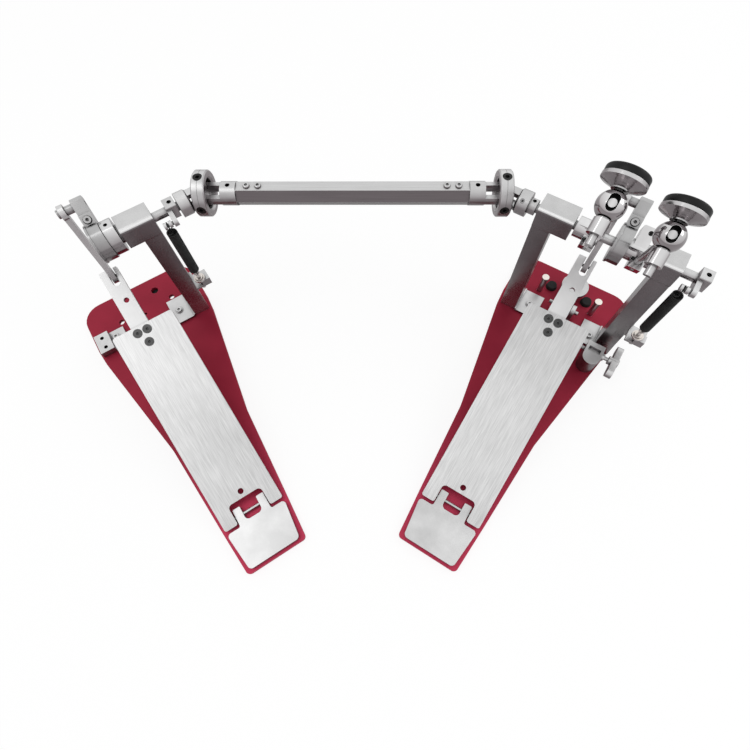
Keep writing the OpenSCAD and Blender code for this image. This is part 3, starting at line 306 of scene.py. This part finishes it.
metalLooks = {
    # low and high: base tone; warm: yellow in it; side: share of it on standing faces, as painted
    # shade; foot: share of it low on standing faces, a painted reflection from below; shoulder:
    # strength of a painted highlight band on rounded edges; turnover: where the painted shade turns
    # to the lit tone; rough: roughness; along and across, or grain: scale of the noise; depth:
    # height of the grain in metres
    "brushed": dict(low=0.53, high=0.72, side=0.7, rough=0.36, along=40, across=1100, depth=12e-6),
    "tube": dict(low=0.54, high=0.64, side=0.22, rough=0.28, along=16, across=1500, depth=6e-6,
                 turnover=(0.6, 0.9)),
    "satin": dict(low=0.54, high=0.68, side=0.42, rough=0.34, grain=1500, depth=10e-6),
    "link": dict(low=0.56, high=0.70, side=0.66, rough=0.28, grain=1300, depth=6e-6),
    # painted light: one tongue metal in two tones, lighter on the main pedal and darker on the
    # second, set to how the light falls on each
    "mainTongue": dict(low=0.76, high=0.84, side=0.6, rough=0.40, grain=1500, depth=8e-6),
    "slaveTongue": dict(low=0.60, high=0.68, side=0.6, rough=0.40, grain=1500, depth=8e-6),
    "lever": dict(low=0.40, high=0.50, side=0.5, rough=0.2, grain=700, depth=4e-6),
    "milled": dict(low=0.52, high=0.62, side=0.26, rough=0.27, grain=1100, depth=6e-6,
                   foot=0.8, shoulder=0.8),
    "polished": dict(low=0.56, high=0.72, side=0.38, rough=0.17, grain=600, depth=4e-6),
    "mirror": dict(low=0.66, high=0.80, side=0.42, rough=0.06, grain=200, depth=2e-6),
    "ground": dict(low=0.50, high=0.66, side=0.42, rough=0.24, grain=900, depth=6e-6),
    "nickel": dict(low=0.72, high=0.84, side=0.6, rough=0.30, grain=900, depth=6e-6, warm=0.07),
}
toneSettings = {
    "turnover": (0.3, 0.95),      # upward share of the normal, from standing to lying faces
    # the foot tone is a painted reflection from below, lighter low on standing faces
    "footHeights": (0.13, 0.01),  # metres over the floor, from the plain tone to the foot's
    # the band is a painted highlight
    "bandLow": (0.42, 0.6), "bandHigh": (0.93, 0.8),  # upward shares where the band starts and ends
    "bandTone": 0.95,
}


def metalTone(tree, s, amount):
    # body tone between low and high, with painted shade: darker and slightly red-brown on standing
    # faces
    t = toneSettings
    warm = s.get("warm", 0.0)
    lit = mixColour(tree, amount, grey(s["low"], warm), grey(s["high"], warm))
    side, tint = s["side"], 1 - s["side"]
    shade = mixColour(tree, amount, plum(s["low"] * side, tint), plum(s["high"] * side, tint))
    # painted reflection from below: standing faces lighter low on the object
    if "foot" in s:
        height = node(tree, "ShaderNodeSeparateXYZ", {}, [coordinates(tree)], "Z")
        foot = mapRange(tree, height, *t["footHeights"])
        shade = mixColour(tree, foot, shade, grey(s["low"] * s["foot"]))
    # painted light and shade: the lit tone on faces that look up, the shaded tone on standing ones
    body = mixColour(tree, upward(tree, *s.get("turnover", t["turnover"])), shade, lit)
    if "shoulder" in s:
        # painted highlight: a light band on the rounded edge between a top and a standing face
        band = upward(tree, *t["bandLow"]) * upward(tree, *t["bandHigh"])
        body = mixColour(tree, band * s["shoulder"], body, grey(t["bandTone"]))
    return body


brushSettings = {
    "broad": (420, 4, 4), "wear": (9, 9, 9),  # noise scales across, along and through the metal
    "shares": (0.55, 0.15, 0.3), "contrast": (0.38, 0.62), "paler": 0.1,
    "streakRough": 0.7, "wearRough": 0.3, "smoother": 0.04, "rougher": 0.06,
}


def brushedMetal(name, look, turn, tilt):
    # long grain: noise stretched along the piece, plus broad streaks and slow patches of wear
    s, b = metalLooks[look], brushSettings
    material, tree = newMaterial(name)
    grain = (s["across"], s["along"], s["along"])
    fine = noise(tree, objectPoint(tree, turn, grain, tilt), 1.0, richDetail)
    broad = noise(tree, objectPoint(tree, turn, b["broad"], tilt), 1.0)
    wear = noise(tree, objectPoint(tree, turn, b["wear"], tilt), 1.0)
    fineShare, broadShare, wearShare = b["shares"]
    streak = fine * fineShare + broad * broadShare + wear * wearShare
    body = metalTone(tree, s, mapRange(tree, streak, *b["contrast"]))
    rough = mapRange(tree, streak * b["streakRough"] + wear * b["wearRough"], *usualNoise,
                     s["rough"] - b["smoother"], s["rough"] + b["rougher"])
    # paler edge tone, partly wear and partly a painted highlight
    finished(tree, "brushed", body, grey(min(1, s["high"] + b["paler"])), fine, s["depth"], rough)
    return material


grainSettings = {
    "cloud": 22, "paler": 0.12,
    "cloudRough": 0.5, "fineRough": 0.5, "smoother": 0.85, "rougher": 1.2,
}


def grainMetal(name, look, shadeOf=None):
    # ground, blasted or polished metal: fine even grain and a slow cloudy tone
    s, g = metalLooks[look], grainSettings
    material, tree = newMaterial(name)
    fine = noise(tree, objectPoint(tree), s["grain"])
    cloud = noise(tree, objectPoint(tree), g["cloud"], richDetail)
    body = metalTone(tree, s, mapRange(tree, cloud, *usualNoise))
    # paler edge tone, partly wear and partly a painted highlight
    edgeTone = grey(min(1, s["high"] + g["paler"]), s.get("warm", 0.0))
    rough = mapRange(tree, cloud * g["cloudRough"] + fine * g["fineRough"], *usualNoise,
                     s["rough"] * g["smoother"], s["rough"] * g["rougher"])
    finished(tree, "grain", body, edgeTone, fine, s["depth"], rough, shadeOf=shadeOf)
    return material


seamSettings = {"outside": 0.35, "inside": 0.15, "darkness": 0.75}  # half widths in millimetres


def seamShade(spot, direction):
    # 1 near the plane through the spot square to the direction, where two ring halves meet
    def shade(tree):
        away = vectorMaths(tree, "DOT_PRODUCT", armFrom(tree, spot), tuple(direction))
        line = mapRange(tree, abs(away), seamSettings["outside"] * mm, seamSettings["inside"] * mm)
        return line * seamSettings["darkness"]

    return shade


slotSettings = {
    "outside": 14.3, "inside": 14.1,     # distance from the ball's middle in millimetres
    "screwLow": 9.1, "screwHigh": 9.3,   # height of the screw's end along the shaft
    "facing": (0.6, 0.8),                # how far a face looks along the shaft on that end
}


def slotShade(beater):
    # painted shade: 1 inside the slot of a beater ball, which is darkened, 0 on its outside and on
    # the end of the screw in it
    s = slotSettings
    place = ballFrame(beater)
    axis = tuple(place.to_3x3() @ Vector((0, 0, 1)))

    def shade(tree):
        arm = armFrom(tree, place.translation)
        reach = node(tree, "ShaderNodeVectorMath", {"operation": "LENGTH"}, [arm], "Value")
        rise = vectorMaths(tree, "DOT_PRODUCT", arm, axis)
        facing = vectorMaths(tree, "DOT_PRODUCT", coordinates(tree, "Normal"), axis)
        inside = mapRange(tree, reach, s["outside"] * mm, s["inside"] * mm)
        screw = (mapRange(tree, rise, s["screwLow"] * mm, s["screwHigh"] * mm)
                 * mapRange(tree, facing, *s["facing"]))
        return inside * (1 - screw)

    return shade


# Red plates

redLook = {
    "dark": (0.26, 0.010, 0.030, 1), "light": (0.40, 0.022, 0.052, 1),
    # painted sheen: the heel colour lightens the plate near its heel, fading out over the fade
    # length
    "heel": (0.62, 0.050, 0.115, 1), "fade": 150, "heelShare": 0.7,  # lighter end, in millimetres
    # the edge colour: paler edge tone, partly wear and partly a painted highlight
    "edge": (0.60, 0.10, 0.15, 1), "metal": 0.35, "shine": 0.25,
    "cloud": 7, "contrast": (0.3, 0.7), "grain": 1400, "depth": 12e-6,
    "rough": 0.42, "cloudRough": 0.6, "fineRough": 0.4, "smoother": 0.05, "rougher": 0.08,
}


def anodisedRed(name, place):
    # dyed oxide film: deep red with slow variation, and a painted sheen that makes the end by the
    # heel lighter, fading with the distance from it
    s = redLook
    material, tree = newMaterial(name)
    along = tuple(place.to_3x3() @ Vector((0, 1, 0)))
    away = vectorMaths(tree, "DOT_PRODUCT", armFrom(tree, place.translation), along)
    fine = noise(tree, objectPoint(tree), s["grain"])
    cloud = noise(tree, objectPoint(tree), s["cloud"], richDetail)
    body = mixColour(tree, mapRange(tree, cloud, *s["contrast"]), s["dark"], s["light"])
    # painted sheen: lighter red towards the heel
    heel = mapRange(tree, away, s["fade"] * mm, 0) * s["heelShare"]
    body = mixColour(tree, heel, body, s["heel"])
    rough = mapRange(tree, cloud * s["cloudRough"] + fine * s["fineRough"], *usualNoise,
                     s["rough"] - s["smoother"], s["rough"] + s["rougher"])
    finished(tree, "red", body, s["edge"], fine, s["depth"], rough, s["metal"], s["shine"])
    return material


# Black oxide and rubber

darkLooks = {
    "blackSteel": dict(low=0.012, high=0.035, rough=0.34, metal=0.6, shine=0.4, grain=900,
                       depth=8e-6),
    "greySteel": dict(low=0.08, high=0.13, rough=0.30, metal=0.8, shine=0.4, grain=900,
                      depth=8e-6),
    "rubber": dict(low=0.014, high=0.028, rough=0.72, metal=0.0, shine=0.3, grain=1200,
                   depth=30e-6),
    "padBlack": dict(low=0.007, high=0.015, rough=0.36, metal=0.0, shine=0.2, grain=1500,
                     depth=20e-6),
}
dustSettings = {
    "scale": 35, "contrast": (0.4, 0.75), "paler": 3, "palest": 0.4,
    "dustRough": 0.5, "fineRough": 0.5, "smoother": 0.06, "rougher": 0.1,
}


def darkFinish(name, look):
    # fine grain, dusty high spots, slightly paler edges that are partly wear and partly a painted
    # highlight, and painted shade in corners
    s, d = darkLooks[look], dustSettings
    material, tree = newMaterial(name)
    fine = noise(tree, objectPoint(tree), s["grain"])
    dust = noise(tree, objectPoint(tree), d["scale"], richDetail)
    body = mixColour(tree, mapRange(tree, dust, *d["contrast"]), grey(s["low"]), grey(s["high"]))
    edgeTone = grey(min(d["palest"], s["high"] * d["paler"]))
    rough = mapRange(tree, dust * d["dustRough"] + fine * d["fineRough"], *usualNoise,
                     s["rough"] - d["smoother"], s["rough"] + d["rougher"])
    finished(tree, "dark", body, edgeTone, fine, s["depth"], rough, s["metal"], s["shine"])
    return material


tilt = math.radians(pedalSize["boardTilt"])
finishes = {
    "mainRed": anodisedRed("anodised_red_main", same),
    "slaveRed": anodisedRed("anodised_red_slave", slaveFrame),
    "satin": grainMetal("satin_aluminium", "satin"),
    "milled": grainMetal("milled_aluminium", "milled"),
    "link": grainMetal("link_aluminium", "link"),
    "mainTongue": grainMetal("main_tongue_aluminium", "mainTongue"),
    "slaveTongue": grainMetal("slave_tongue_aluminium", "slaveTongue"),
    "lever": grainMetal("lever_aluminium", "lever"),
    "mainBoard": brushedMetal("brushed_main", "brushed", 0.0, tilt),
    "slaveBoard": brushedMetal("brushed_slave", "brushed", slaveTurn, tilt),
    "shaft": brushedMetal("brushed_shaft", "tube", shaftTurn - math.pi / 2, 0.0),
    "polished": grainMetal("polished_aluminium", "polished"),
    "chrome": grainMetal("chrome", "mirror"),
    "rightRing": grainMetal("right_ring_aluminium", "satin", seamShade(rightJoint, shaftAlong)),
    "leftRing": grainMetal("left_ring_aluminium", "satin", seamShade(leftJoint, shaftAlong)),
    "mainBall": grainMetal("main_ball_chrome", "mirror", slotShade(beaters["main"])),
    "slaveBall": grainMetal("slave_ball_chrome", "mirror", slotShade(beaters["slave"])),
    "steel": grainMetal("ground_steel", "ground"),
    "nickel": grainMetal("nickel", "nickel"),
    "blackSteel": darkFinish("black_steel", "blackSteel"),
    "greySteel": darkFinish("grey_steel", "greySteel"),
    "rubber": darkFinish("rubber", "rubber"),
    "pad": darkFinish("pad_black", "padBlack"),
}
print("finishes made:", len(finishes))


# The model's own nodes: a finish by material slot, apart from those with a finish of their own

slotFinish = {
    "brushed_aluminium": "mainBoard", "anodised_red": "mainRed", "satin_aluminium": "satin",
    "milled_aluminium": "milled", "polished_aluminium": "polished", "steel": "steel",
    "nickel": "nickel", "chrome": "chrome", "black_steel": "blackSteel", "rubber": "rubber",
    "felt_black": "pad",
}
ownFinish = {
    "drive_tube": "shaft", "right_ring": "rightRing", "left_ring": "leftRing",
    "main_beater_ball": "mainBall", "slave_beater_ball": "slaveBall",
    "main_link": "link", "slave_link": "link", "main_lever": "lever", "slave_lever": "lever",
    "main_tongue": "mainTongue", "slave_tongue": "slaveTongue",
    "slave_footboard": "slaveBoard", "slave_base_plate": "slaveRed",
    "main_board_screws": "greySteel", "slave_board_screws": "greySteel",
}

for part in frame["record"]["subparts"]:
    obj = frame["nodes"][part["node"]]
    finish = ownFinish.get(part["node"]) or slotFinish[part["material_slot"]]
    obj.data.materials.clear()
    obj.data.materials.append(finishes[finish])
print("nodes finished")


# Mesh helpers: every piece is made of numpy grids, in the shared frame, in millimetres

sharpAngle = 38     # degrees between faces, past which an edge stays sharp
almostAlong = 0.95  # cosine past which a side is too near the axis to start from
closing = 0.01      # radius of a tube's closed end, and its reach as a share of the last step
pole = 0.001        # radius at which a turned surface ends on its axis


def frameAt(origin, axis, side=(0, 0, 1)):
    # matrix whose third axis is the given direction, and first axis as near to the side as can be
    w = Vector(axis).normalized()
    u = Vector(side)
    if abs(u.dot(w)) > almostAlong:
        u = Vector((0, 1, 0))
    u = (u - w * u.dot(w)).normalized()
    v = w.cross(u)
    turn = Matrix((u, v, w)).transposed().to_4x4()
    return Matrix.Translation(Vector(origin)) @ turn


def ringFaces(rows, columns):
    # quads between neighbouring rows, with the last column joined to the first
    r, c = np.meshgrid(np.arange(rows - 1), np.arange(columns), indexing="ij")
    n = (c + 1) % columns
    below, above = r * columns, (r + 1) * columns
    return np.stack([below + c, below + n, above + n, above + c], -1).reshape(-1, 4)


def revolved(profile, sides, wave=None):
    # profile of (radius, height) turned about the third axis; wave times the radius by the angle
    p = np.array(profile, float)
    angle = np.linspace(0, 2 * np.pi, sides, endpoint=False)
    radius = p[:, :1] * (np.ones((1, sides)) if wave is None else wave(angle[None, :]))
    height = np.repeat(p[:, 1:2], sides, 1)
    points = np.stack([radius * np.cos(angle), radius * np.sin(angle), height], -1)
    return points.reshape(-1, 3), ringFaces(len(p), sides)


def swept(path, outward, radius, sides):
    # round tube along a path: circles square to the path, started at the outward angle about
    # the third axis
    t = np.gradient(path, axis=0)
    t /= np.linalg.norm(t, axis=1, keepdims=True)
    u = np.stack([np.cos(outward), np.sin(outward), 0 * outward], 1)
    u -= t * np.sum(u * t, axis=1, keepdims=True)
    u /= np.linalg.norm(u, axis=1, keepdims=True)
    v = np.cross(t, u)
    angle = np.linspace(0, 2 * np.pi, sides, endpoint=False)[None, :, None]
    ring = np.cos(angle) * u[:, None] + np.sin(angle) * v[:, None]
    points = (path[:, None] + radius[:, None, None] * ring).reshape(-1, 3)
    return points, ringFaces(len(path), sides)[:, ::-1]


def capped(path, outward, radius, sides):
    # tube whose radius falls to almost nothing at both ends, which closes it
    p = np.concatenate([path[:1], path, path[-1:]])
    p[0] += (path[0] - path[1]) * closing
    p[-1] += (path[-1] - path[-2]) * closing
    r = np.full(len(p), radius)
    r[0] = r[-1] = closing
    return swept(p, np.concatenate([outward[:1], outward, outward[-1:]]), r, sides)


def joined(parts):
    # all points after each other, with each part's faces counted on from the last
    points, faces, start = [], [], 0
    for p, f in parts:
        points.append(p)
        faces.append(f + start)
        start += len(p)
    return np.concatenate(points), np.concatenate(faces)


def moved(part, matrix):
    # points turned by the matrix, then shifted
    p, f = part
    m = np.array(matrix)
    return p @ m[:3, :3].T + m[:3, 3], f


def piece(name, parts, finish, body):
    # one mesh in metres from the parts' points and four-sided faces
    points, faces = joined(parts)
    mesh = bpy.data.meshes.new(name)
    mesh.vertices.add(len(points))
    mesh.vertices.foreach_set("co", (points * mm).astype(np.float32).ravel())
    mesh.loops.add(faces.size)
    mesh.loops.foreach_set("vertex_index", faces.astype(np.int32).ravel())
    mesh.polygons.add(len(faces))
    mesh.polygons.foreach_set("loop_start", np.arange(0, faces.size, 4, dtype=np.int32))
    mesh.polygons.foreach_set("loop_total", np.full(len(faces), 4, np.int32))
    mesh.update(calc_edges=True)
    mesh.validate()
    mesh.shade_smooth()
    mesh.set_sharp_from_angle(angle=math.radians(sharpAngle))
    mesh.materials.append(finishes[finish])
    obj = bpy.data.objects.new(name, mesh)
    bpy.context.scene.collection.objects.link(obj)
    if body:
        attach(obj, body)
    return obj


print("piece helpers ready")


# Springs: a close helix whose wire runs in to a round hook at each end

springSettings = {
    "wire": 1.8, "radius": 6.1, "curls": 36, "low": 115.0, "high": 200.0, "steps": 28, "sides": 10,
    "runIn": 0.5,                            # turns over which the wire comes out from the middle
    "lowHook": (2.5, 111.15, 30, -240, 28),  # radius, height, first and last angle, steps
    "highHook": (3.7, 211.5, 180, -30, 22),
    "bendLow": 187.0, "bendHigh": 208.0,     # the upper curls stretch between these heights
}


def hook(radius, height, first, last, steps):
    # circle in the plane of the second and third axes
    a = np.radians(np.linspace(first, last, steps))
    return np.stack([0 * a, radius * np.cos(a), height + radius * np.sin(a)], 1)


def springPath(s):
    # helix whose radius grows from nothing over the first half turn and falls back over the last,
    # by the smooth step of the turns from the nearer end
    turn = np.linspace(0, s["curls"], s["curls"] * s["steps"])
    ease = np.clip(np.minimum(turn, s["curls"] - turn) / s["runIn"], 0, 1)
    radius = s["radius"] * (ease * ease * (3 - 2 * ease))
    angle = 2 * np.pi * turn
    height = s["low"] + (s["high"] - s["low"]) * turn / s["curls"]
    coil = np.stack([radius * np.cos(angle), radius * np.sin(angle), height], 1)
    lower, upper = hook(*s["lowHook"]), hook(*s["highHook"])
    outward = np.concatenate([np.zeros(len(lower)), angle, np.zeros(len(upper))])
    return np.concatenate([lower, coil, upper]), outward


def makeSprings(s):
    for name, matrix, low, high in (
        ("main_spring", mainSpringFrame, "main_frame", "main_axle_body"),
        ("slave_spring", slaveSpringFrame, "slave_frame", "slave_axle_body"),
    ):
        wire = capped(*springPath(s), s["wire"] / 2, s["sides"])
        obj = piece(name + "_wire", [moved(wire, matrix)], "blackSteel", None)
        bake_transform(obj)
        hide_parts(name)


makeSprings(springSettings)
print("springs made")


# Beater pads: a moulded disc with a rounded rim and a slightly crowned face

padSettings = {
    "gap": 25.0, "radius": 21.75, "thick": 8.0, "crown": 1.0, "sides": 128,
    "shoulder": 2.4, "shoulderSteps": 9, "straight": 0.3,  # rounded front edge, step before it
    "backEdge": ((0.9, 0), (0.25, 0.3), (0, 0.9)),         # distance in from the rim, height
    "faceSteps": (0.94, 0.82, 0.66, 0.5, 0.34, 0.18, 0.06, 0.001),
}


def quarter(radius, height, bend, steps):
    # quarter circle from the side at this radius to the top at this height
    a = np.radians(np.linspace(0, 90, steps))
    return [(radius - bend + bend * math.cos(v), height - bend + bend * math.sin(v)) for v in a]


def makePads(s):
    # side profile: flat back, rounded back edge, straight side, quarter circle, face that rises
    # by the crown times one less the squared share of the radius
    r, t, e = s["radius"], s["thick"], s["shoulder"]
    back = [(r - inwards, height) for inwards, height in s["backEdge"]]
    face = [((r - e) * k, t + s["crown"] * (1 - k * k)) for k in s["faceSteps"]]
    profile = [(pole, 0), *back, (r, t - e - s["straight"]),
               *quarter(r, t, e, s["shoulderSteps"]), *face]
    toDrum = Matrix.Rotation(-math.pi / 2, 4, "X")
    forward = Matrix.Translation(Vector((0, 0, s["gap"])))
    for name, beater, body in (
        ("main_beater_pad", beaters["main"], "main_beater_body"),
        ("slave_beater_pad", beaters["slave"], "slave_beater_body"),
    ):
        disc = moved(revolved(profile, s["sides"]), ballFrame(beater) @ toDrum @ forward)
        obj = piece(name + "_moulded", [disc], "pad", body)
        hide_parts(name)


makePads(padSettings)
print("pads made")


# Small screws: a round head, with a hexagonal socket as a second surface

headSettings = {
    "base": 0.96, "sunk": 0.3,       # foot of the head: share of its radius, depth under the seat
    "mouth": 1.06, "corner": 1.22,   # socket's mouth and bevel, as shares of its inner radius
    "bevel": 0.12, "point": 0.35,    # height of that bevel, depth of the drill point as a share
    "rimSteps": 6, "sides": 40, "socketSides": 36,
}


def hexagon(angle):
    # distance from the middle to the flats of a hexagon, divided by its inner radius
    sector = (angle + np.pi / 6) % (np.pi / 3) - np.pi / 6
    return 1 / np.cos(sector)


def screwHead(r, h, socket, depth, domed=0.25):
    # rounded rim, flat top, and a socket whose wall is a six-sided prism over a drill point
    s = headSettings
    rim = quarter(r, h, domed * h, s["rimSteps"])
    outer = revolved([(r * s["base"], -s["sunk"]), (r, 0.0), *rim, (socket * s["mouth"], h)],
                     s["sides"])
    wall = revolved([(socket * s["corner"], h), (socket, h - s["bevel"]), (socket, h - depth),
                     (pole, h - depth - s["point"] * socket)], s["socketSides"], hexagon)
    return joined([outer, wall])


screwKinds = {
    # finish, slot, then the head's radius and height and the socket's radius and depth
    "rocker": ("blackSteel", "black_steel", (2.9, 0.6, 1.5, 2.0)),
    "hub": ("steel", "steel", (2.9, 1.6, 1.5, 1.6)),
    "stroke": ("blackSteel", "black_steel", (2.9, 0.6, 1.5, 1.6)),
    "neck": ("blackSteel", "black_steel", (2.4, 0.6, 1.3, 1.8)),
    "yoke": ("steel", "steel", (2.9, 0.6, 1.6, 2.0)),
}
upright, hubBack, strokeFront = (0, 0, 1), (0, -0.870, -0.492), (0, -0.492, 0.870)
setScrews = [
    # name, kind, body, frame, place, direction
    ("main_rocker_screw", "rocker", "main_axle_body", same, (120.5, 353, 219.7), upright),
    ("slave_rocker_screw", "rocker", "slave_axle_body", slaveFrame, (115.0, 353, 219.7), upright),
    ("main_hub_screw", "hub", "main_axle_body", same, (45.0, 335.6, 199.6), hubBack),
    ("slave_hub_screw", "hub", "slave_beater_axle_body", same, (-16.0, 335.6, 199.6), hubBack),
    ("main_stroke_screw", "stroke", "main_axle_body", same, (42.2, 366.7, 230.0), strokeFront),
    ("slave_stroke_screw", "stroke", "slave_beater_axle_body", same, (-11.3, 366.7, 230.0),
     strokeFront),
    ("collar_screw", "neck", "slave_axle_body", slaveFrame, (34.8, 353, 228.5), upright),
    ("right_neck_screw", "neck", "slave_beater_axle_body", same, (-97.0, 353, 217.5), upright),
    ("right_yoke_screw", "yoke", "slave_beater_axle_body", same, (-110.1, 343.9, 220.4),
     (0, -0.643, 0.766)),
    ("left_yoke_screw", "yoke", "slave_axle_body", slaveFrame, (131.6, 362.1, 220.4),
     (0, 0.643, 0.766)),
]


def makeSetScrews():
    for name, kind, body, pedalFrame, spot, axis in setScrews:
        finish, slot, sizes = screwKinds[kind]
        part = moved(screwHead(*sizes), pedalFrame @ frameAt(spot, axis))
        piece(name, [part], finish, body)


makeSetScrews()


# Clamp screws of the hexagonal tube: two button heads near each end, on the upper flat

tubeSettings = {
    "end": 44.05, "along": (14, 29),  # from the joint's middle to the tube, then to its screws
    "flat": 13.0,                     # upper flat over the middle of the tube
    "head": (4.3, 2.6), "socket": (2.0, 1.7), "domed": 0.6,
}


def makeTubeScrews(s):
    length = (rightJoint - leftJoint).length
    spots = [s["end"] + k for k in s["along"]] + [length - s["end"] - k for k in s["along"]]
    screw = screwHead(*s["head"], *s["socket"], s["domed"])
    rise = Vector((0, 0, s["flat"]))
    parts = [moved(screw, frameAt(leftJoint + shaftAlong * k + rise, upright, shaftAlong))
             for k in spots]
    piece("tube_clamp_screws", parts, "steel", "drive_shaft_body")


makeTubeScrews(tubeSettings)
print("set screws made")


# Threads: a ridge along a helix, just outside the plain screw

threadSettings = {"pitch": 0.9, "steps": 20, "ridge": 0.34, "sides": 5}
tensionerSettings = {"radius": 1.95, "runs": ((98.7, 104.4), (72.2, 74.8))}  # heights, floor up
wingSettings = {
    "radius": 2.95, "place": (0, 315, 30),
    "runs": ((27.5, 57.5), (-21.0, -20.0)),  # from the block to where the wedge stops, behind it
}


def thread(radius, low, high, s):
    # helix that climbs by the pitch each turn, as a thin closed tube
    turns = (high - low) / s["pitch"]
    a = np.linspace(0, turns, int(turns * s["steps"]))
    angle = 2 * np.pi * a
    height = low + s["pitch"] * a
    path = np.stack([radius * np.cos(angle), radius * np.sin(angle), height], 1)
    return capped(path, angle, s["ridge"], s["sides"])


def threads(s, matrix):
    # every run of one screw
    return [moved(thread(s["radius"], low, high, threadSettings), matrix)
            for low, high in s["runs"]]


def makeThreads():
    for name, matrix, body in (("main", mainSpringFrame, "main_frame"),
                               ("slave", slaveSpringFrame, "slave_frame")):
        parts = threads(tensionerSettings, matrix)
        piece(name + "_tensioner_thread", parts, "nickel", body)
    parts = threads(wingSettings, frameAt(wingSettings["place"], (1, 0, 0)))
    piece("wing_screw_thread", parts, "steel", "wing_screw_body")


makeThreads()
print("threads made")


# Washers under the base screws

washerSettings = {
    "inner": 2.6, "outer": 6.2, "height": 1.0, "bevel": 0.3, "sides": 48, "seat": 11.51,
}


def washer(s):
    # square profile with bevelled outer corners, turned about the third axis
    inner, outer, height = s["inner"], s["outer"], s["height"]
    e = height * s["bevel"]
    return revolved([(inner, 0), (outer - e, 0), (outer, e), (outer, height - e),
                     (outer - e, height), (inner, height), (inner, 0)], s["sides"])


def makeWashers(s):
    for name, spots, matrix, body in (
        ("main_base_washers", ((-46, 355), (57, 351)), same, "main_frame"),
        ("slave_base_washers", ((44.8, 357.5), (-60, 368)), slaveFrame, "slave_frame"),
    ):
        parts = [moved(washer(s), matrix @ Matrix.Translation(Vector((x, y, s["seat"]))))
                 for x, y in spots]
        piece(name, parts, "steel", body)


makeWashers(washerSettings)
print("washers made")


# Stage: a pale floor, a white world and two soft lamps

stageSettings = {
    "floor": 0.92, "floorSize": 6.0, "floorGlow": 0.8, "glow": 1.07, "worldLight": 0.66,
    "keyPower": 2.8, "keyPlace": (-0.9, -0.5, 1.7), "keySize": 0.9,
    "fillPower": 4.0, "fillPlace": (1.1, 0.9, 1.3), "fillSize": 0.8,
    "aim": (-0.15, 0.15, 0.1),
}


def makeFloor(s):
    # square that the camera sees partly as plain paint, partly as its own glow
    half = s["floorSize"] / 2
    corners = [(-half, -half, 0), (half, -half, 0), (half, half, 0), (-half, half, 0)]
    mesh = bpy.data.meshes.new("floor")
    mesh.from_pydata(corners, [], [(0, 1, 2, 3)])
    floor = bpy.data.objects.new("floor", mesh)
    bpy.context.scene.collection.objects.link(floor)
    material, tree = newMaterial("floor")
    seen = node(tree, "ShaderNodeLightPath", {}, {}, "Is Camera Ray")
    plain = node(tree, "ShaderNodeBsdfDiffuse", {}, {"Color": grey(s["floor"])})
    glow = node(tree, "ShaderNodeEmission", {}, {"Color": grey(1), "Strength": s["glow"]})
    mixed = node(tree, "ShaderNodeMixShader", {}, [seen * s["floorGlow"], plain, glow])
    node(tree, "ShaderNodeOutputMaterial", {}, [mixed])
    mesh.materials.append(material)


def makeWorld(s):
    # white where it is seen, reflected or looked through, dimmer where it lights the object
    world = bpy.data.worlds.new("studio")
    world.use_nodes = True
    bpy.context.scene.world = world
    tree = world.node_tree
    tree.nodes.clear()
    camera, glossy, through = (node(tree, "ShaderNodeLightPath", {}, {}, ray)
                               for ray in ("Is Camera Ray", "Is Glossy Ray", "Is Transmission Ray"))
    seen = camera.math("MAXIMUM", camera.math("MAXIMUM", camera, glossy), through)
    strength = mapRange(tree, seen, 0, 1, s["worldLight"], 1)
    background = node(tree, "ShaderNodeBackground", {}, {"Color": grey(1), "Strength": strength})
    node(tree, "ShaderNodeOutputWorld", {}, [background])


def makeLamps(s):
    for name in ("key", "fill"):
        lamp = bpy.data.lights.new(name, "AREA")
        lamp.energy = s[name + "Power"]
        lamp.size = s[name + "Size"]
        obj = bpy.data.objects.new(name, lamp)
        obj.location = s[name + "Place"]
        aim = Vector(s["aim"]) - obj.location
        obj.rotation_euler = aim.to_track_quat("-Z", "Y").to_euler()
        bpy.context.scene.collection.objects.link(obj)


makeFloor(stageSettings)
makeWorld(stageSettings)
makeLamps(stageSettings)
bpy.context.scene.view_settings.view_transform = "Standard"
print("stage made")
